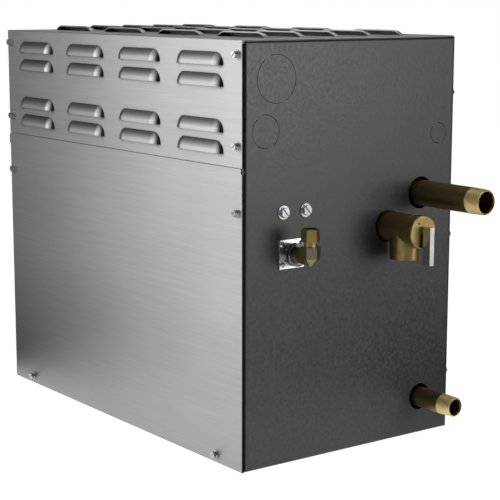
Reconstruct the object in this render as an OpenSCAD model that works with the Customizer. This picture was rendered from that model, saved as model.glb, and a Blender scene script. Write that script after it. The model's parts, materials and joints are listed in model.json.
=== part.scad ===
// Cabinet steam generator: a sheet-metal cabinet with an electric boiler tank inside,
// pipe fittings on one end, a relief valve with a test lever and a solenoid water inlet.
// The origin is the centre of the cabinet's underside. +X points out of the pipe end,
// -Y out of the front panel and +Z up. All sizes are in millimetres.

/* [Cabinet] */
// Length from the far end to the pipe end
cab_l = 469.9; // [460:0.1:500]
// Width from the front panel to the rear panel
cab_w = 273.05; // [268:0.05:290]
// Height of the cabinet
cab_h = 419.1; // [412:0.1:450]
// Thickness of the cabinet's sheet metal
sheet = 1.2; // [1:0.1:1.4]
// Outside radius of the sheet's bends
bend_r = 1.8; // [1.6:0.1:2.2]
// Height of the louvred cover's skirt
skirt_h = 120.6; // [118:0.1:124]
// Gap along the seam between the cover's skirt and the front panel
seam_gap = 0.6; // [0.3:0.1:1]
// Width of the lips turned round the cabinet's ends
lip_w = 2; // [1.8:0.1:2.4]
// Gap between a turned lip and an end panel
edge_gap = 1.5; // [1:0.1:2]
// Depth of the end panels' flanges
pan_d = 14; // [12:0.5:16]
// Height of the base's upright walls
base_wall_h = 22; // [20:1:28]

/* [Louvres] */
// Distance from the cabinet's end to the middle of the nearest louvres
louvre_inset = 70.1; // [66:0.1:76]
// Length of a louvre along its free edge
louvre_l = 79; // [70:1:84]
// Depth of a louvre from its free edge to its root
louvre_d = 12.3; // [10:0.1:13]
// Rise of a louvre's free edge above the sheet
louvre_rise = 5.5; // [4:0.1:7]
// Number of louvre columns
louvre_cols = 4; // [2:1:4]
// Number of louvre rows on the top
top_rows = 5; // [3:1:5]
// Distance between the louvre rows on the top
top_pitch = 43.8; // [40:0.1:46]
// Distance from the top down to the skirt's first free edge
skirt_row_drop = 24.7; // [22:0.1:26]
// Distance between the two rows of a pair on the skirt
skirt_row_pitch = 20.3; // [19:0.1:21]
// Distance between the two pairs of rows on the skirt
skirt_pair_step = 63.8; // [61:0.1:66]

/* [Cabinet screws] */
// Radius of a cabinet screw's washer face
screw_flange_r = 4.6; // [4:0.1:5]
// Radius of a cabinet screw's shank
screw_r = 2; // [1.6:0.1:2.2]
// Height of a cabinet screw's head with its washer face
screw_head_h = 4.6; // [3.5:0.1:5.5]
// Distance from a screw in a column to the cabinet's end
screw_inset = 9; // [8:0.5:10]
// Distance from the top to the skirt's upper screws
cover_screw_drop = 14.1; // [12:0.1:16]
// Distance between the skirt's upper and lower screws
cover_screw_pitch = 86; // [82:0.5:90]
// Distance from the seam down to the front panel's upper screws
panel_screw_drop = 43; // [38:0.5:48]
// Height of the bottom screws above the floor
base_screw_z = 8; // [6.5:0.5:12]
// Distance from a bottom screw to the cabinet's end
base_screw_inset = 45; // [40:1:60]

/* [Steam outlet and drain] */
// Radius of the steam outlet pipe, nominal three-quarter inch
steam_r = 13.335; // [13:0.005:14]
// Bore radius of the steam outlet pipe
steam_bore_r = 10.4; // [9.5:0.05:11]
// Place of the steam outlet across the cabinet
steam_y = 92.3; // [91:0.1:93]
// Height of the steam outlet
steam_z = 258.5; // [256:0.1:260]
// How far the steam outlet pipe stands out of the panel
steam_out = 94.7; // [80:0.1:110]
// Radius of the drain pipe, nominal half inch
drain_r = 10.67; // [10:0.01:11]
// Bore radius of the drain pipe
drain_bore_r = 7.7; // [7:0.05:8.2]
// Place of the drain across the cabinet
drain_y = 96.9; // [95:0.1:98]
// Height of the drain
drain_z = 39.5; // [38:0.1:44]
// How far the drain pipe stands out of the panel
drain_out = 54.4; // [45:0.1:70]
// Length of the threads on the pipe ends
thread_l = 19.4; // [16:0.1:21]
// Radius that the panel's pipe holes add to the pipe's radius
pipe_hole_gap = 3.4; // [2.9:0.1:3.6]

/* [Relief valve] */
// Place of the relief valve across the cabinet
relief_y = 47.8; // [46.5:0.1:48.5]
// Height of the relief valve
relief_z = 227.7; // [226:0.1:229]
// Outside radius of the valve's barrel
relief_r = 15.5; // [15.2:0.1:15.8]
// Radius of the valve's outlet branch
relief_outlet_r = 15.1; // [14.6:0.1:15.4]
// Bore radius of the valve's outlet
relief_outlet_bore_r = 12.1; // [11.6:0.1:12.4]
// Distance from the panel to the outlet branch's axis
relief_outlet_out = 26; // [25:0.5:27]
// Distance from the valve's axis down to the outlet's face
relief_outlet_drop = 30.2; // [29:0.1:34]
// Distance from the panel to the cap's outer face
relief_cap_out = 52.8; // [52:0.1:54]
// Lift of the valve's stem when the test lever is pulled
relief_lift = 2; // [1.5:0.1:2.5]
// Width of the test lever
lever_w = 5.5; // [5:0.1:6.5]
// Length of the test lever below its pin
lever_drop = 32.3; // [28:0.1:36]
// Depth of the test lever's channel
lever_d = 10.1; // [9.5:0.1:11]

/* [Water inlet] */
// Place of the water inlet across the cabinet
inlet_y = -78; // [-80:0.5:-76]
// Height of the water inlet
inlet_z = 211.8; // [208:0.1:214]
// Outside radius of the supply tube that the inlet takes
supply_tube_r = 4.76; // [4.6:0.01:4.8]
// Distance from the panel to the elbow's upright arm
elbow_out = 30; // [29:0.5:34]
// Width of the compression nut across its flats
nut_af = 15.9; // [15.5:0.1:17]
// Height of the compression nut
nut_h = 12.8; // [12:0.1:14]
// Lift of the solenoid valve's plunger
plunger_lift = 3; // [2:0.25:4]

/* [Tank] */
// Width of the tank
tank_w = 96; // [94:0.5:98]
// Height of the tank's mouth above the steam outlet
steam_cover = 25.5; // [24:0.5:30]
// Space between the tank and the cabinet's rear side
tank_rear = 20.525; // [18.025:0.5:23.525]
// Thickness of the tank's walls
tank_wall = 1.5; // [1.2:0.1:2]
// Space between the tank and the pipe end
tank_gap = 40; // [38:0.5:44]
// Width of the flange round the tank's mouth
flange_w = 12; // [11.5:0.1:12.5]
// Height of the tank above the floor
tank_z = 24; // [23:0.5:26]
// Radius of a heating element's sheath
element_r = 4; // [3.5:0.1:4.2]
// Distance between the two heating elements
element_gap = 36; // [34:0.5:40]

/* [Electrics] */
// Width of the contactor
contactor_w = 60; // [56:0.5:64]
// Travel of the contactor's armature
armature_travel = 2.5; // [1.5:0.25:3]
// Travel of the cut-out's reset button
button_travel = 1.5; // [1:0.1:1.8]
// Width of the control board
board_w = 105; // [95:1:110]

/* [Hidden] */

$fn = 48;
// Overrun of every cut
over = 1;
// Radial clearance of a screw, pipe thread or sliding rod in its hole
fit = 0.05;
// Clearance of a screw in a hole that it only passes through
screw_gap = 0.2;
// Clearance between flat pieces that slide on each other
slide_gap = 0.15;
// Clearance between sheets that lie close without touching
sheet_gap = 0.4;

// Cabinet planes
xe = cab_l / 2;
ye = cab_w / 2;
seam_z = cab_h - skirt_h;
inner_y = ye - sheet;
pan_y0 = -ye + lip_w + edge_gap;
pan_y1 = inner_y;
pan_z1 = cab_h - lip_w - sheet_gap;
joggle_d = 2.2;
joggle_w = 20;
joggle_end = 4;
notch_h = 5;
notch_w = 2.5;
tab_w = 2;
tab_h = 11.6;
tab_drop = 1;
tuck_h = 26;
rear_flange_h = 20;
rear_inset = 0.6;
lap_w = 20;
lap_clear = 2.4;

// Cabinet screws
screw_washer_t = 1;
screw_hex_r = 3.9;
slot_w = 0.9;
slot_d = 1.2;
slot_turn = 40;
screw_l = 8;
rear_screw_x = 120;
rear_screw_inset = 7;
rear_screw_low = 60;
rear_screw_drop = 59.1;
rear_screw_high = cab_h - rear_screw_drop;
rear_screw_zs = [rear_screw_low, (rear_screw_low + rear_screw_high) / 2, rear_screw_high];
rear_top_drop = 11;

// Knockouts in the pipe end panel: place across, height and radius of each
big_knockout = [-96.7, 381.2, 23.8];
mid_knockout = [-109.5, 331.6, 16.65];
small_knockout = [115.1, 319, 11.2];
knockout_slit = 0.5;
knockout_step = 0.8;
knockout_tab = 7;
knockout_turn = 25;

// Divider wall, standing between the electrics and the tank
div_y = -8;
div_over = 30.2;
div_foot = 14;
div_end = 12;
grommet_x = 100;
grommet_r = 8;
grommet_bore_r = 5.5;
grommet_rim = 2;

// Tank
tank_r = 6;
tank_x1 = xe - tank_gap;
tank_far_step = 6;
tank_x0 = -xe + tank_gap + tank_far_step;
tank_y1 = cab_w / 2 - tank_rear;
tank_y0 = tank_y1 - tank_w;
tank_y = (tank_y0 + tank_y1) / 2;
tank_top = steam_z + steam_cover;
flange_t = 3;
gasket_t = 2;
lid_t = 4;
gasket_z = tank_top;
lid_z = gasket_z + gasket_t;
lid_top = lid_z + lid_t;
boss_l = 14;
boss_t = 3.6;
foot_w = 30;
foot_x = 110;
foot_t = 1.5;
bolt_r = 2.5;
bolt_gap = 0.2;
bolt_af = 8;
bolt_head_h = 3.5;
bolt_nut_h = 4;
bolt_tip = 1;
bolt_rows = 5;
end_thread_step = 0.9;
pipe_step_out = 0.5;

// Heating elements and what stands on the lid
element_inset = 45;
element_low = 26;
element_bend = 16;
fitting_h = 10;
fitting_af = 19;
pin_r = 2;
pin_h = 16;
insulator_r = 6;
insulator_h = 3;
lug_r = 4;
lug_h = 3.6;
lead_r = 1.5;
terminal_nut_af = 7;
terminal_nut_h = 3.2;
probe_x = 60;
probe_r = 2.5;
probe_top = 18;
probe_low = 106;
probe_af = 17;
probe_hex_h = 9;
probe_collar = 2;
cutout_x = -60;
cutout_r = 14;
cutout_h = 13;
cutout_foot = 2;
cutout_ear = 8;
cutout_well = 0.5;
button_r = 3;
button_out = 3;
button_in = 4;

// Pipe threads
thread_pitch = 1.8;
thread_depth = 0.55;
thread_taper = 1 / 16;
thread_root_share = 0.3;
thread_crest_share = 0.9;
thread_runout = 1;

// Relief valve, measured out from the panel
relief_in = 8;
relief_ring_r = 16;
relief_ring_back = 4;
relief_neck_r = 14.1;
relief_neck_out = 9.5;
relief_thread = 8;
relief_seat = 3;
relief_seat_r = 7.5;
relief_chamber_r = 12.5;
relief_body_out = 43;
relief_collar_r = 17.2;
relief_collar_l = 2;
relief_cap_r = 16.9;
relief_spigot_l = 8;
relief_outlet_depth = 15;
relief_passage_r = 9;
relief_chamfer = 0.8;
cap_spring_r = 9.5;
cap_spring_depth = 11;
cap_dot_r = 1.1;
cap_dot_depth = 1.5;
cap_dot_y = -6;
cap_dot_z = 9;
disc_r = 9.5;
disc_t = 3;
stem_r = 2.5;
tongue_in = 3.8;
tongue_out = 8.8;
tongue_h = 4.6;
lever_t = 1;
lever_play = 0.7;
lever_gap = relief_lift + lever_play;
lever_top = 6;
lever_pin_in = 3.5;
lever_pin_r = 1.2;
relief_coil_r = 7.6;
relief_wire_r = 0.8;
relief_turns = 7;

// Water inlet, measured out from the panel
plate_t = 1.6;
plate_w = 30.2;
plate_h = 28.6;
plate_screw_y = 12;
plate_screw_z = 10;
plate_screw_r = 1.5;
plate_head_r = 2.7;
plate_head_h = 1.8;
plate_slot = 0.6;
spigot_r = 8.6;
spigot_out = 10;
spigot_gap = 0.7;
spigot_bore_r = 4;
collar_r = 11.6;
collar_out = 12;
groove_out = 6.6;
groove_w = 2;
groove_d = 1.4;
collar_chamfer = 0.8;
valve_flange_t = 3;
valve_y = 13;
valve_l = 36;
valve_low = 12;
valve_up = 14.2;
valve_axis = 24;
valve_bore_out = 7.5;
chamber_r = 5.5;
chamber_up = 5.7;
orifice_r = 1.4;
outlet_hole_r = 1.2;
outlet_hole_in = 3.9;
tip_h = 1.5;
tip_r = 2.9;
core_r = 7;
core_up = 54;
plunger_h = 24;
plunger_stack = 4;
plunger_gap = plunger_lift + plunger_stack;
core_top = 4;
coil_h = 32;
coil_w = 26;
coil_y = 30;
coil_chamfer_share = 0.2;
coil_nut_af = 19;
coil_nut_h = 4.4;
plunger_coil_r = 3.4;
plunger_wire_r = 0.35;
plunger_turns = 4;
bracket_screw_left = 9.7;
bracket_screw_right = 17.7;
bracket_screw_ys = [inlet_y - bracket_screw_left, inlet_y + bracket_screw_right];
bracket_screw_z = 253;
bracket_t = 1.6;
bracket_left = 20;
bracket_right = 28;
bracket_y0 = inlet_y - bracket_left;
bracket_y1 = inlet_y + bracket_right;
bracket_low = 243;
big_flange_r = 6.8;
big_hex_r = 5.1;
big_washer_t = 1.2;
big_head_h = 4.5;
big_shank_r = 2.8;
big_slot_w = 1.4;
big_slot_d = 1.7;
big_tip = 3.2;

// Elbow and compression joint
elbow_ring_r = 8.8;
elbow_ring_l = 3;
elbow_r = 7.4;
elbow_stub_r = 5.2;
elbow_hex_r = 9.8;
elbow_hex_low = 0.4;
elbow_hex_up = 11;
elbow_point_l = 8;
elbow_point_r = 1.2;
neck_z = 15.6;
neck_r = 6.3;
neck_up = 8;
elbow_bore_r = 3.6;
socket_depth = 16.5;
nut_wall_top = 2.4;
nut_chamfer = 1;
ferrule_r = 6;
ferrule_taper = 0.5;

// Fill tube, from the solenoid valve to the tank
fill_r = 4.76;
fill_bore_r = 3.8;
fill_back = 65;
fill_x = xe - fill_back;
fill_bend = 14;
fill_boss_r = 8;
fill_in = 3;
tube_end_gap = 0.5;

// Electrics on the divider wall and on the base
contactor_d = 60;
contactor_h = 75;
contactor_z = lid_top - contactor_h;
contactor_step = 9;
contactor_lug = 14;
arm_w = 20;
arm_h = 30;
arm_out = 2;
arm_l = 34;
arm_stack = 3.5;
arm_pocket = arm_l - arm_out + armature_travel + arm_stack;
arm_spring_r = 5;
arm_wire_r = 0.4;
arm_turns = 3;
pole_x_shares = [0.35, 0.12];
lead_ys = [-46, -34];
lead_spreads = [2.2, -2.2];
lead_bend = 5;
transformer_x = -155;
transformer_y = -75;
transformer_w = 64;
transformer_d = 52;
transformer_h = 54;
transformer_leg = 14;
bobbin_gap = 0.3;
bobbin_out = 12;
block_y = -60;
block_w = 70;
block_d = 34;
block_h = 28;
block_step = 10;
supply_r = 2;
supply_x = 14;
board_x = 45;
board_z = 100;
board_h = 120;
board_t = 1.6;
standoff_l = 8;
standoff_r = 3.2;
stud_head_h = 1;
board_edge = 7;
relay_w = 19;
relay_d = 15;
relay_h = 16;
wire_r = 1;
wire_y = -70;
wire_step = 12;
wire_bend = 4;

// Places that several pieces share
panel_back = xe - sheet;
boss_x = tank_x1 + boss_l;
element_x0 = tank_x0 + element_inset;
element_x1 = tank_x1 - element_inset;
element_ys = [tank_y - element_gap / 2, tank_y + element_gap / 2];
stub_top = lid_top + fitting_h;
insulator_z = stub_top;
lug_z = insulator_z + insulator_h;
lead_z = lug_z + lug_h / 2;
div_top = lead_z + div_over;
steam_hole_r = steam_r + pipe_hole_gap;
drain_hole_r = drain_r + pipe_hole_gap;
lever_pin_out = relief_cap_out + lever_gap + lever_pin_in;
valve_top = inlet_z + valve_up;
valve_x = xe - valve_axis;
chamber_z = inlet_z + chamber_up;
plunger_top = chamber_z + tip_h + plunger_h;
nut_z = inlet_z + neck_z;
cover_screw_zs = [cab_h - cover_screw_drop, cab_h - cover_screw_drop - cover_screw_pitch];
panel_screw_z = seam_z - panel_screw_drop;

// Radius of the louvre's curved sheet and the straight length between its rounded ends
louvre_r = (louvre_d * louvre_d + louvre_rise * louvre_rise) / (2 * louvre_rise);
louvre_flat = louvre_l - 2 * louvre_d;
louvre_pitch = (cab_l - 2 * louvre_inset) / (louvre_cols - 1);

steel = [0.74, 0.74, 0.73];
dark = [0.27, 0.27, 0.28];
brass = [0.42, 0.35, 0.2];
nickel = [0.8, 0.8, 0.78];
black = [0.1, 0.1, 0.1];

// Box between two corners
module span(a, b) {
  translate(a) cube([b[0] - a[0], b[1] - a[1], b[2] - a[2]]);
}

// Rectangle between two corners with rounded corners
module round_rect(a, b, r) {
  translate([a[0] + r, a[1]]) square([b[0] - a[0] - 2 * r, b[1] - a[1]]);
  translate([a[0], a[1] + r]) square([b[0] - a[0], b[1] - a[1] - 2 * r]);
  for (x = [a[0] + r, b[0] - r], y = [a[1] + r, b[1] - r])
    translate([x, y]) circle(r = r);
}

// Prisms with rounded corners that run along X, Y and Z
module prism_x(a, b, r) {
  translate([a[0], 0, 0]) rotate([90, 0, 90]) linear_extrude(b[0] - a[0])
    round_rect([a[1], a[2]], [b[1], b[2]], r);
}

module prism_y(a, b, r) {
  translate([0, b[1], 0]) rotate([90, 0, 0]) linear_extrude(b[1] - a[1])
    round_rect([a[0], a[2]], [b[0], b[2]], r);
}

module prism_z(a, b, r) {
  translate([0, 0, a[2]]) linear_extrude(b[2] - a[2])
    round_rect([a[0], a[1]], [b[0], b[1]], r);
}

// Block whose edges are all bent sheet
module bent_block(a, b, r) {
  intersection() {
    prism_x(a, b, r);
    prism_y(a, b, r);
    prism_z(a, b, r);
  }
}

// Cylinder along +X from a point on its axis
module rod_x(p, r, l) {
  translate(p) rotate([0, 90, 0]) cylinder(r = r, h = l);
}

// Cylinder along +Y from a point on its axis
module rod_y(p, r, l) {
  translate(p) rotate([-90, 0, 0]) cylinder(r = r, h = l);
}

// Ring along +Z
module ring(r, bore, h) {
  difference() {
    cylinder(r = r, h = h);
    translate([0, 0, -over]) cylinder(r = bore, h = h + 2 * over);
  }
}

// Hexagon prism across flats along +Z
module hex(af, h) {
  cylinder(r = af / sqrt(3), h = h, $fn = 6);
}

// Slotted hexagon screw with a washer face, its shank pointing down from the sheet
module slotted_screw(flange, washer, hex_r, head, shank, l, slot, cut, turn) {
  difference() {
    union() {
      cylinder(r = flange, h = washer);
      cylinder(r = hex_r, h = head, $fn = 6);
      translate([0, 0, -l]) cylinder(r = shank, h = l + washer / 2);
    }
    rotate([0, 0, turn]) translate([-flange, -slot / 2, head - cut])
      cube([2 * flange, slot, cut + over]);
  }
}

module cabinet_screw() {
  slotted_screw(screw_flange_r, screw_washer_t, screw_hex_r, screw_head_h, screw_r,
                screw_l, slot_w, slot_d, slot_turn);
}

// Places the children on the front face, pointing out of it
module on_front(x, z) {
  translate([x, -ye, z]) rotate([90, 0, 0]) children();
}

// Places the children on the rear face, pointing out of it
module on_rear(x, z) {
  translate([x, ye, z]) rotate([-90, 0, 0]) children();
}

// Places the children on the pipe end's face, pointing out of it
module on_pipe_end(y, z) {
  translate([xe, y, z]) rotate([0, 90, 0]) children();
}

// Hole for a screw through the front sheet and the flange behind it
module front_screw_hole(x, z, r) {
  rod_y([x, -ye - over, z], r, 2 * sheet + 2 * over);
}

// Pipe with a tapered thread on its outer end, drawn along +Z from 0 to l
module threaded_pipe(r, bore, l, inner_l) {
  turns = floor(thread_l / thread_pitch);
  z0 = l - turns * thread_pitch;
  rotate_extrude() polygon(concat(
    [[bore, 0], [r - end_thread_step, 0], [r - end_thread_step, inner_l], [r, inner_l],
     [r, z0]],
    [for (i = [0 : turns - 1]) each [
      [r - thread_depth - i * thread_pitch * thread_taper / 2, z0 + (i + thread_root_share) * thread_pitch],
      [r - (i + 1) * thread_pitch * thread_taper / 2, z0 + (i + thread_crest_share) * thread_pitch]]],
    [[r - thread_depth - turns * thread_pitch * thread_taper / 2, l], [bore, l]]));
}

// Wire along square-cornered points, with a quarter bend at every corner
module wire_run(points, r, bend) {
  last = len(points) - 1;
  for (i = [0 : last - 1]) {
    d = points[i + 1] - points[i];
    u = d / norm(d);
    a = points[i] + (i == 0 ? 0 : bend) * u;
    b = points[i + 1] - (i == last - 1 ? 0 : bend) * u;
    translate(a) rotate([0, acos(u[2]), atan2(u[1], u[0])]) cylinder(r = r, h = norm(b - a));
    if (i < last - 1) {
      e = points[i + 2] - points[i + 1];
      v = e / norm(e);
      w = cross(u, v);
      c = b + bend * v;
      multmatrix([[-v[0], u[0], w[0], c[0]], [-v[1], u[1], w[1], c[1]],
                  [-v[2], u[2], w[2], c[2]], [0, 0, 0, 1]])
        rotate_extrude(angle = 90) translate([bend, 0]) circle(r = r);
    }
  }
}

// Coil spring along +Z with closed ends, as one swept tube
module coil_spring(r, wire, h, turns) {
  sides = 6;
  steps = 16;
  rings = turns * steps;
  rise = h - 2 * wire;
  function centre_z(i) = wire + rise * i / rings;
  points = [for (i = [0 : rings]) for (k = [0 : sides - 1])
    let (a = 360 * i / steps, b = 360 * k / sides)
    [(r + wire * cos(b)) * cos(a), (r + wire * cos(b)) * sin(a), centre_z(i) + wire * sin(b)]];
  walls = [for (i = [0 : rings - 1]) for (k = [0 : sides - 1]) each
    let (p = i * sides + k, q = i * sides + (k + 1) % sides)
    [[p, p + sides, q], [q, p + sides, q + sides]]];
  caps = [[for (k = [0 : sides - 1]) k],
          [for (k = [0 : sides - 1]) rings * sides + sides - 1 - k]];
  polyhedron(points, concat(walls, caps));
}

// Louvre hood: a capsule's slice above its free edge, for a sheet that lies on z = 0
module louvre_dome(shrink, low) {
  intersection() {
    translate([0, 0, louvre_rise - louvre_r]) {
      translate([-louvre_flat / 2, 0, 0]) rotate([0, 90, 0])
        cylinder(r = louvre_r - shrink, h = louvre_flat);
      for (s = [-1, 1]) translate([s * louvre_flat / 2, 0, 0]) rotate([0, 90, 0])
        sphere(r = louvre_r - shrink);
    }
    translate([-louvre_l, 0, -low]) cube([2 * louvre_l, 2 * louvre_d, low + 2 * louvre_rise]);
  }
}

function louvre_x(i) = (i - (louvre_cols - 1) / 2) * louvre_pitch;
skirt_drops = [for (pair = [0, 1]) for (row = [0, 1])
  skirt_row_drop + pair * skirt_pair_step + row * skirt_row_pitch];

module all_louvres(shrink, low) {
  for (i = [0 : louvre_cols - 1]) {
    for (drop = skirt_drops) on_front(louvre_x(i), cab_h - drop) louvre_dome(shrink, low);
    for (k = [0 : top_rows - 1])
      translate([louvre_x(i), (k - (top_rows - 1) / 2) * top_pitch, cab_h])
        louvre_dome(shrink, low);
  }
}

// Bent shell of the cover with its skirt, end lips and rear flange
module cover_shell() {
  difference() {
    bent_block([-xe, -ye, seam_z - skirt_h], [xe, inner_y, cab_h], bend_r);
    bent_block([-xe + sheet, -ye + sheet, seam_z - 2 * skirt_h],
               [xe - sheet, inner_y - sheet, cab_h - sheet], bend_r - sheet);
    span([-cab_l, -cab_w, seam_z - 2 * skirt_h], [cab_l, cab_w, seam_z]);
    span([-cab_l, -ye + lip_w, 0], [-xe + sheet + over / 10, cab_w, cab_h - lip_w]);
    span([xe - sheet - over / 10, -ye + lip_w, 0], [cab_l, cab_w, cab_h - lip_w]);
    span([-cab_l, 0, 0], [cab_l, cab_w, cab_h - rear_flange_h]);
    for (s = [-1, 1]) translate([s * (xe - (pan_d + lip_w) / 2), ye, cab_h / 2 - bend_r])
      cube([pan_d + lip_w + sheet_gap, 4 * bend_r, cab_h], center = true);
  }
}

module louvred_cover() {
  color(steel) difference() {
    union() {
      cover_shell();
      all_louvres(0, sheet / 2);
    }
    all_louvres(sheet, sheet + over);
    for (s = [-1, 1]) for (z = cover_screw_zs)
      front_screw_hole(s * (xe - screw_inset), z, screw_r + screw_gap);
    for (x = [-rear_screw_x, 0, rear_screw_x])
      rod_y([x, inner_y - sheet - over, cab_h - rear_top_drop], screw_r + fit, sheet + 2 * over);
  }
}

module front_lower_panel() {
  top = seam_z - seam_gap;
  color(steel) difference() {
    union() {
      intersection() {
        difference() {
          prism_z([-xe, -ye, 0], [xe, 0, top], bend_r);
          prism_z([-xe + sheet, -ye + sheet, -over], [xe - sheet, ye, top + over],
                  bend_r - sheet);
        }
        span([-cab_l, -cab_w, -over], [cab_l, -ye + lip_w, cab_h]);
      }
      span([-xe + joggle_w + 2 * sheet, -ye + sheet, top - tuck_h / 2],
           [xe - joggle_w - 2 * sheet, -ye + 2 * sheet, top + tuck_h / 2]);
      span([-xe - tab_w, -ye + sheet / 2, top - tab_drop - tab_h],
           [-xe + lip_w, -ye + sheet, top - tab_drop]);
    }
    span([xe - notch_w, -ye - over, top - notch_h], [xe + over, 0, cab_h]);
    for (s = [-1, 1]) {
      front_screw_hole(s * (xe - screw_inset), panel_screw_z, screw_r + screw_gap);
      front_screw_hole(s * (xe - base_screw_inset), base_screw_z, screw_r + screw_gap);
    }
  }
}

module rear_panel() {
  color(dark) difference() {
    span([-xe + rear_inset, inner_y, 0], [xe - rear_inset, ye, cab_h - sheet]);
    for (p = rear_screw_places) rod_y([p[0], inner_y - over, p[1]], screw_r + screw_gap,
                                      sheet + 2 * over);
  }
}

rear_screw_places = concat(
  [for (s = [-1, 1]) for (z = rear_screw_zs) [s * (xe - rear_screw_inset), z]],
  [for (x = [-rear_screw_x, 0, rear_screw_x]) each
    [[x, base_screw_z], [x, cab_h - rear_top_drop]]]);

// Dished end panel with flanges and a joggled flange behind the front sheets
module end_pan() {
  step_x = xe - joggle_d;
  difference() {
    union() {
      difference() {
        bent_block([xe - 3 * pan_d, pan_y0, 0], [xe, pan_y1, pan_z1], bend_r);
        bent_block([xe - 4 * pan_d, pan_y0 + sheet, sheet],
                   [panel_back, pan_y1 - sheet, pan_z1 - sheet], bend_r - sheet);
        span([xe - 5 * pan_d, -cab_w, -over], [xe - pan_d, cab_w, cab_h]);
        span([xe - 5 * pan_d, -cab_w, -over], [step_x - sheet, pan_y0 + bend_r, cab_h]);
      }
      span([step_x - sheet, -ye + sheet, 0], [step_x, pan_y0 + sheet, pan_z1 - joggle_end]);
      span([xe - joggle_w, -ye + sheet, base_wall_h + sheet_gap],
           [step_x, -ye + 2 * sheet, pan_z1 - joggle_end]);
    }
    for (z = concat(cover_screw_zs, [panel_screw_z]))
      front_screw_hole(xe - screw_inset, z, screw_r + fit);
    for (z = rear_screw_zs)
      rod_y([xe - rear_screw_inset, pan_y1 - sheet - over, z], screw_r + fit, sheet + 2 * over);
  }
}

// Two fine arcs that leave a knockout hanging on its tabs
module knockout(k) {
  on_pipe_end(k[0], k[1]) translate([0, 0, -sheet - over]) linear_extrude(sheet + 2 * over)
    for (s = [0, 1]) rotate(knockout_turn + 180 * s) difference() {
      circle(r = k[2] - s * knockout_step);
      circle(r = k[2] - s * knockout_step - knockout_slit);
      translate([-2 * k[2], -4 * k[2] + knockout_tab / 2]) square([4 * k[2], 4 * k[2]]);
    }
}

module pipe_end_panel() {
  color(dark) difference() {
    end_pan();
    for (k = [big_knockout, mid_knockout, small_knockout]) knockout(k);
    rod_x([xe - 2 * pan_d, steam_y, steam_z], steam_hole_r, 3 * pan_d);
    rod_x([xe - 2 * pan_d, relief_y, relief_z], steam_hole_r, 3 * pan_d);
    rod_x([xe - 2 * pan_d, drain_y, drain_z], drain_hole_r, 3 * pan_d);
    rod_x([xe - 2 * pan_d, inlet_y, inlet_z], spigot_r + spigot_gap, 3 * pan_d);
    for (s = [-1, 1]) for (t = [-1, 1])
      rod_x([xe - pan_d, inlet_y + s * plate_screw_y, inlet_z + t * plate_screw_z],
            plate_screw_r + fit, 2 * pan_d);
    for (y = bracket_screw_ys)
      rod_x([xe - pan_d, y, bracket_screw_z], big_shank_r + screw_gap, 2 * pan_d);
  }
}

module far_end_panel() {
  color(dark) mirror([1, 0, 0]) end_pan();
}

// Base tray with upright walls and raised laps over the end panels' bottom flanges
module chassis_base() {
  floor_x = xe - pan_d - sheet_gap;
  wall_x = xe - joggle_d - sheet - sheet_gap;
  color(dark) difference() {
    union() {
      span([-floor_x, -ye + sheet, 0], [floor_x, inner_y, sheet]);
      for (s = [0, 1]) mirror([s, 0, 0])
        span([xe - lap_w, pan_y0 + sheet + lap_clear, sheet - sheet / 4],
             [xe - lap_clear, inner_y - sheet - lap_clear, 2 * sheet]);
      span([-wall_x, -ye + sheet, 0], [wall_x, -ye + 2 * sheet, base_wall_h]);
      span([-floor_x, inner_y - sheet, 0], [floor_x, inner_y, base_wall_h]);
    }
    for (s = [0, 1]) mirror([s, 0, 0])
      span([floor_x, pan_y0 - over, -over], [xe, inner_y, sheet]);
    for (s = [-1, 1]) front_screw_hole(s * (xe - base_screw_inset), base_screw_z, screw_r + fit);
    for (x = [-rear_screw_x, 0, rear_screw_x])
      rod_y([x, inner_y - sheet - over, base_screw_z], screw_r + fit, sheet + 2 * over);
  }
}

module cover_screws() {
  color(nickel) for (s = [-1, 1]) for (z = cover_screw_zs)
    on_front(s * (xe - screw_inset), z) cabinet_screw();
}

module panel_screws() {
  color(nickel) for (s = [-1, 1]) {
    on_front(s * (xe - screw_inset), panel_screw_z) cabinet_screw();
    on_front(s * (xe - base_screw_inset), base_screw_z) cabinet_screw();
  }
}

module rear_screws() {
  color(nickel) for (p = rear_screw_places) on_rear(p[0], p[1]) cabinet_screw();
}

// Wall between the electrics and the tank, with a foot and end flanges
module divider_wall() {
  end_x = panel_back;
  foot_x0 = xe - lap_w - 2 * sheet;
  color(steel) difference() {
    union() {
      span([-end_x, div_y, 2 * sheet], [end_x, div_y + sheet, div_top]);
      span([-foot_x0, div_y - div_foot, sheet], [foot_x0, div_y + sheet, 2 * sheet]);
      for (s = [0, 1]) mirror([s, 0, 0])
        span([end_x - sheet, div_y - div_end, base_wall_h], [end_x, div_y + sheet, div_top]);
    }
    for (s = [-1, 1]) rod_y([s * grommet_x, div_y - over, lead_z], grommet_r, sheet + 2 * over);
    rod_y([fill_x, div_y - over, inlet_z], fill_r + grommet_rim, sheet + 2 * over);
  }
}

module wire_grommets() {
  color(black) for (s = [-1, 1])
    translate([s * grommet_x, div_y + sheet / 2, lead_z]) rotate([-90, 0, 0]) {
      translate([0, 0, -sheet / 2 - grommet_rim])
        ring(grommet_r + grommet_rim, grommet_bore_r, grommet_rim);
      translate([0, 0, -sheet / 2 - grommet_rim])
        ring(grommet_r, grommet_bore_r, sheet + 2 * grommet_rim);
      translate([0, 0, sheet / 2]) ring(grommet_r + grommet_rim, grommet_bore_r, grommet_rim);
    }
}

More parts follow.
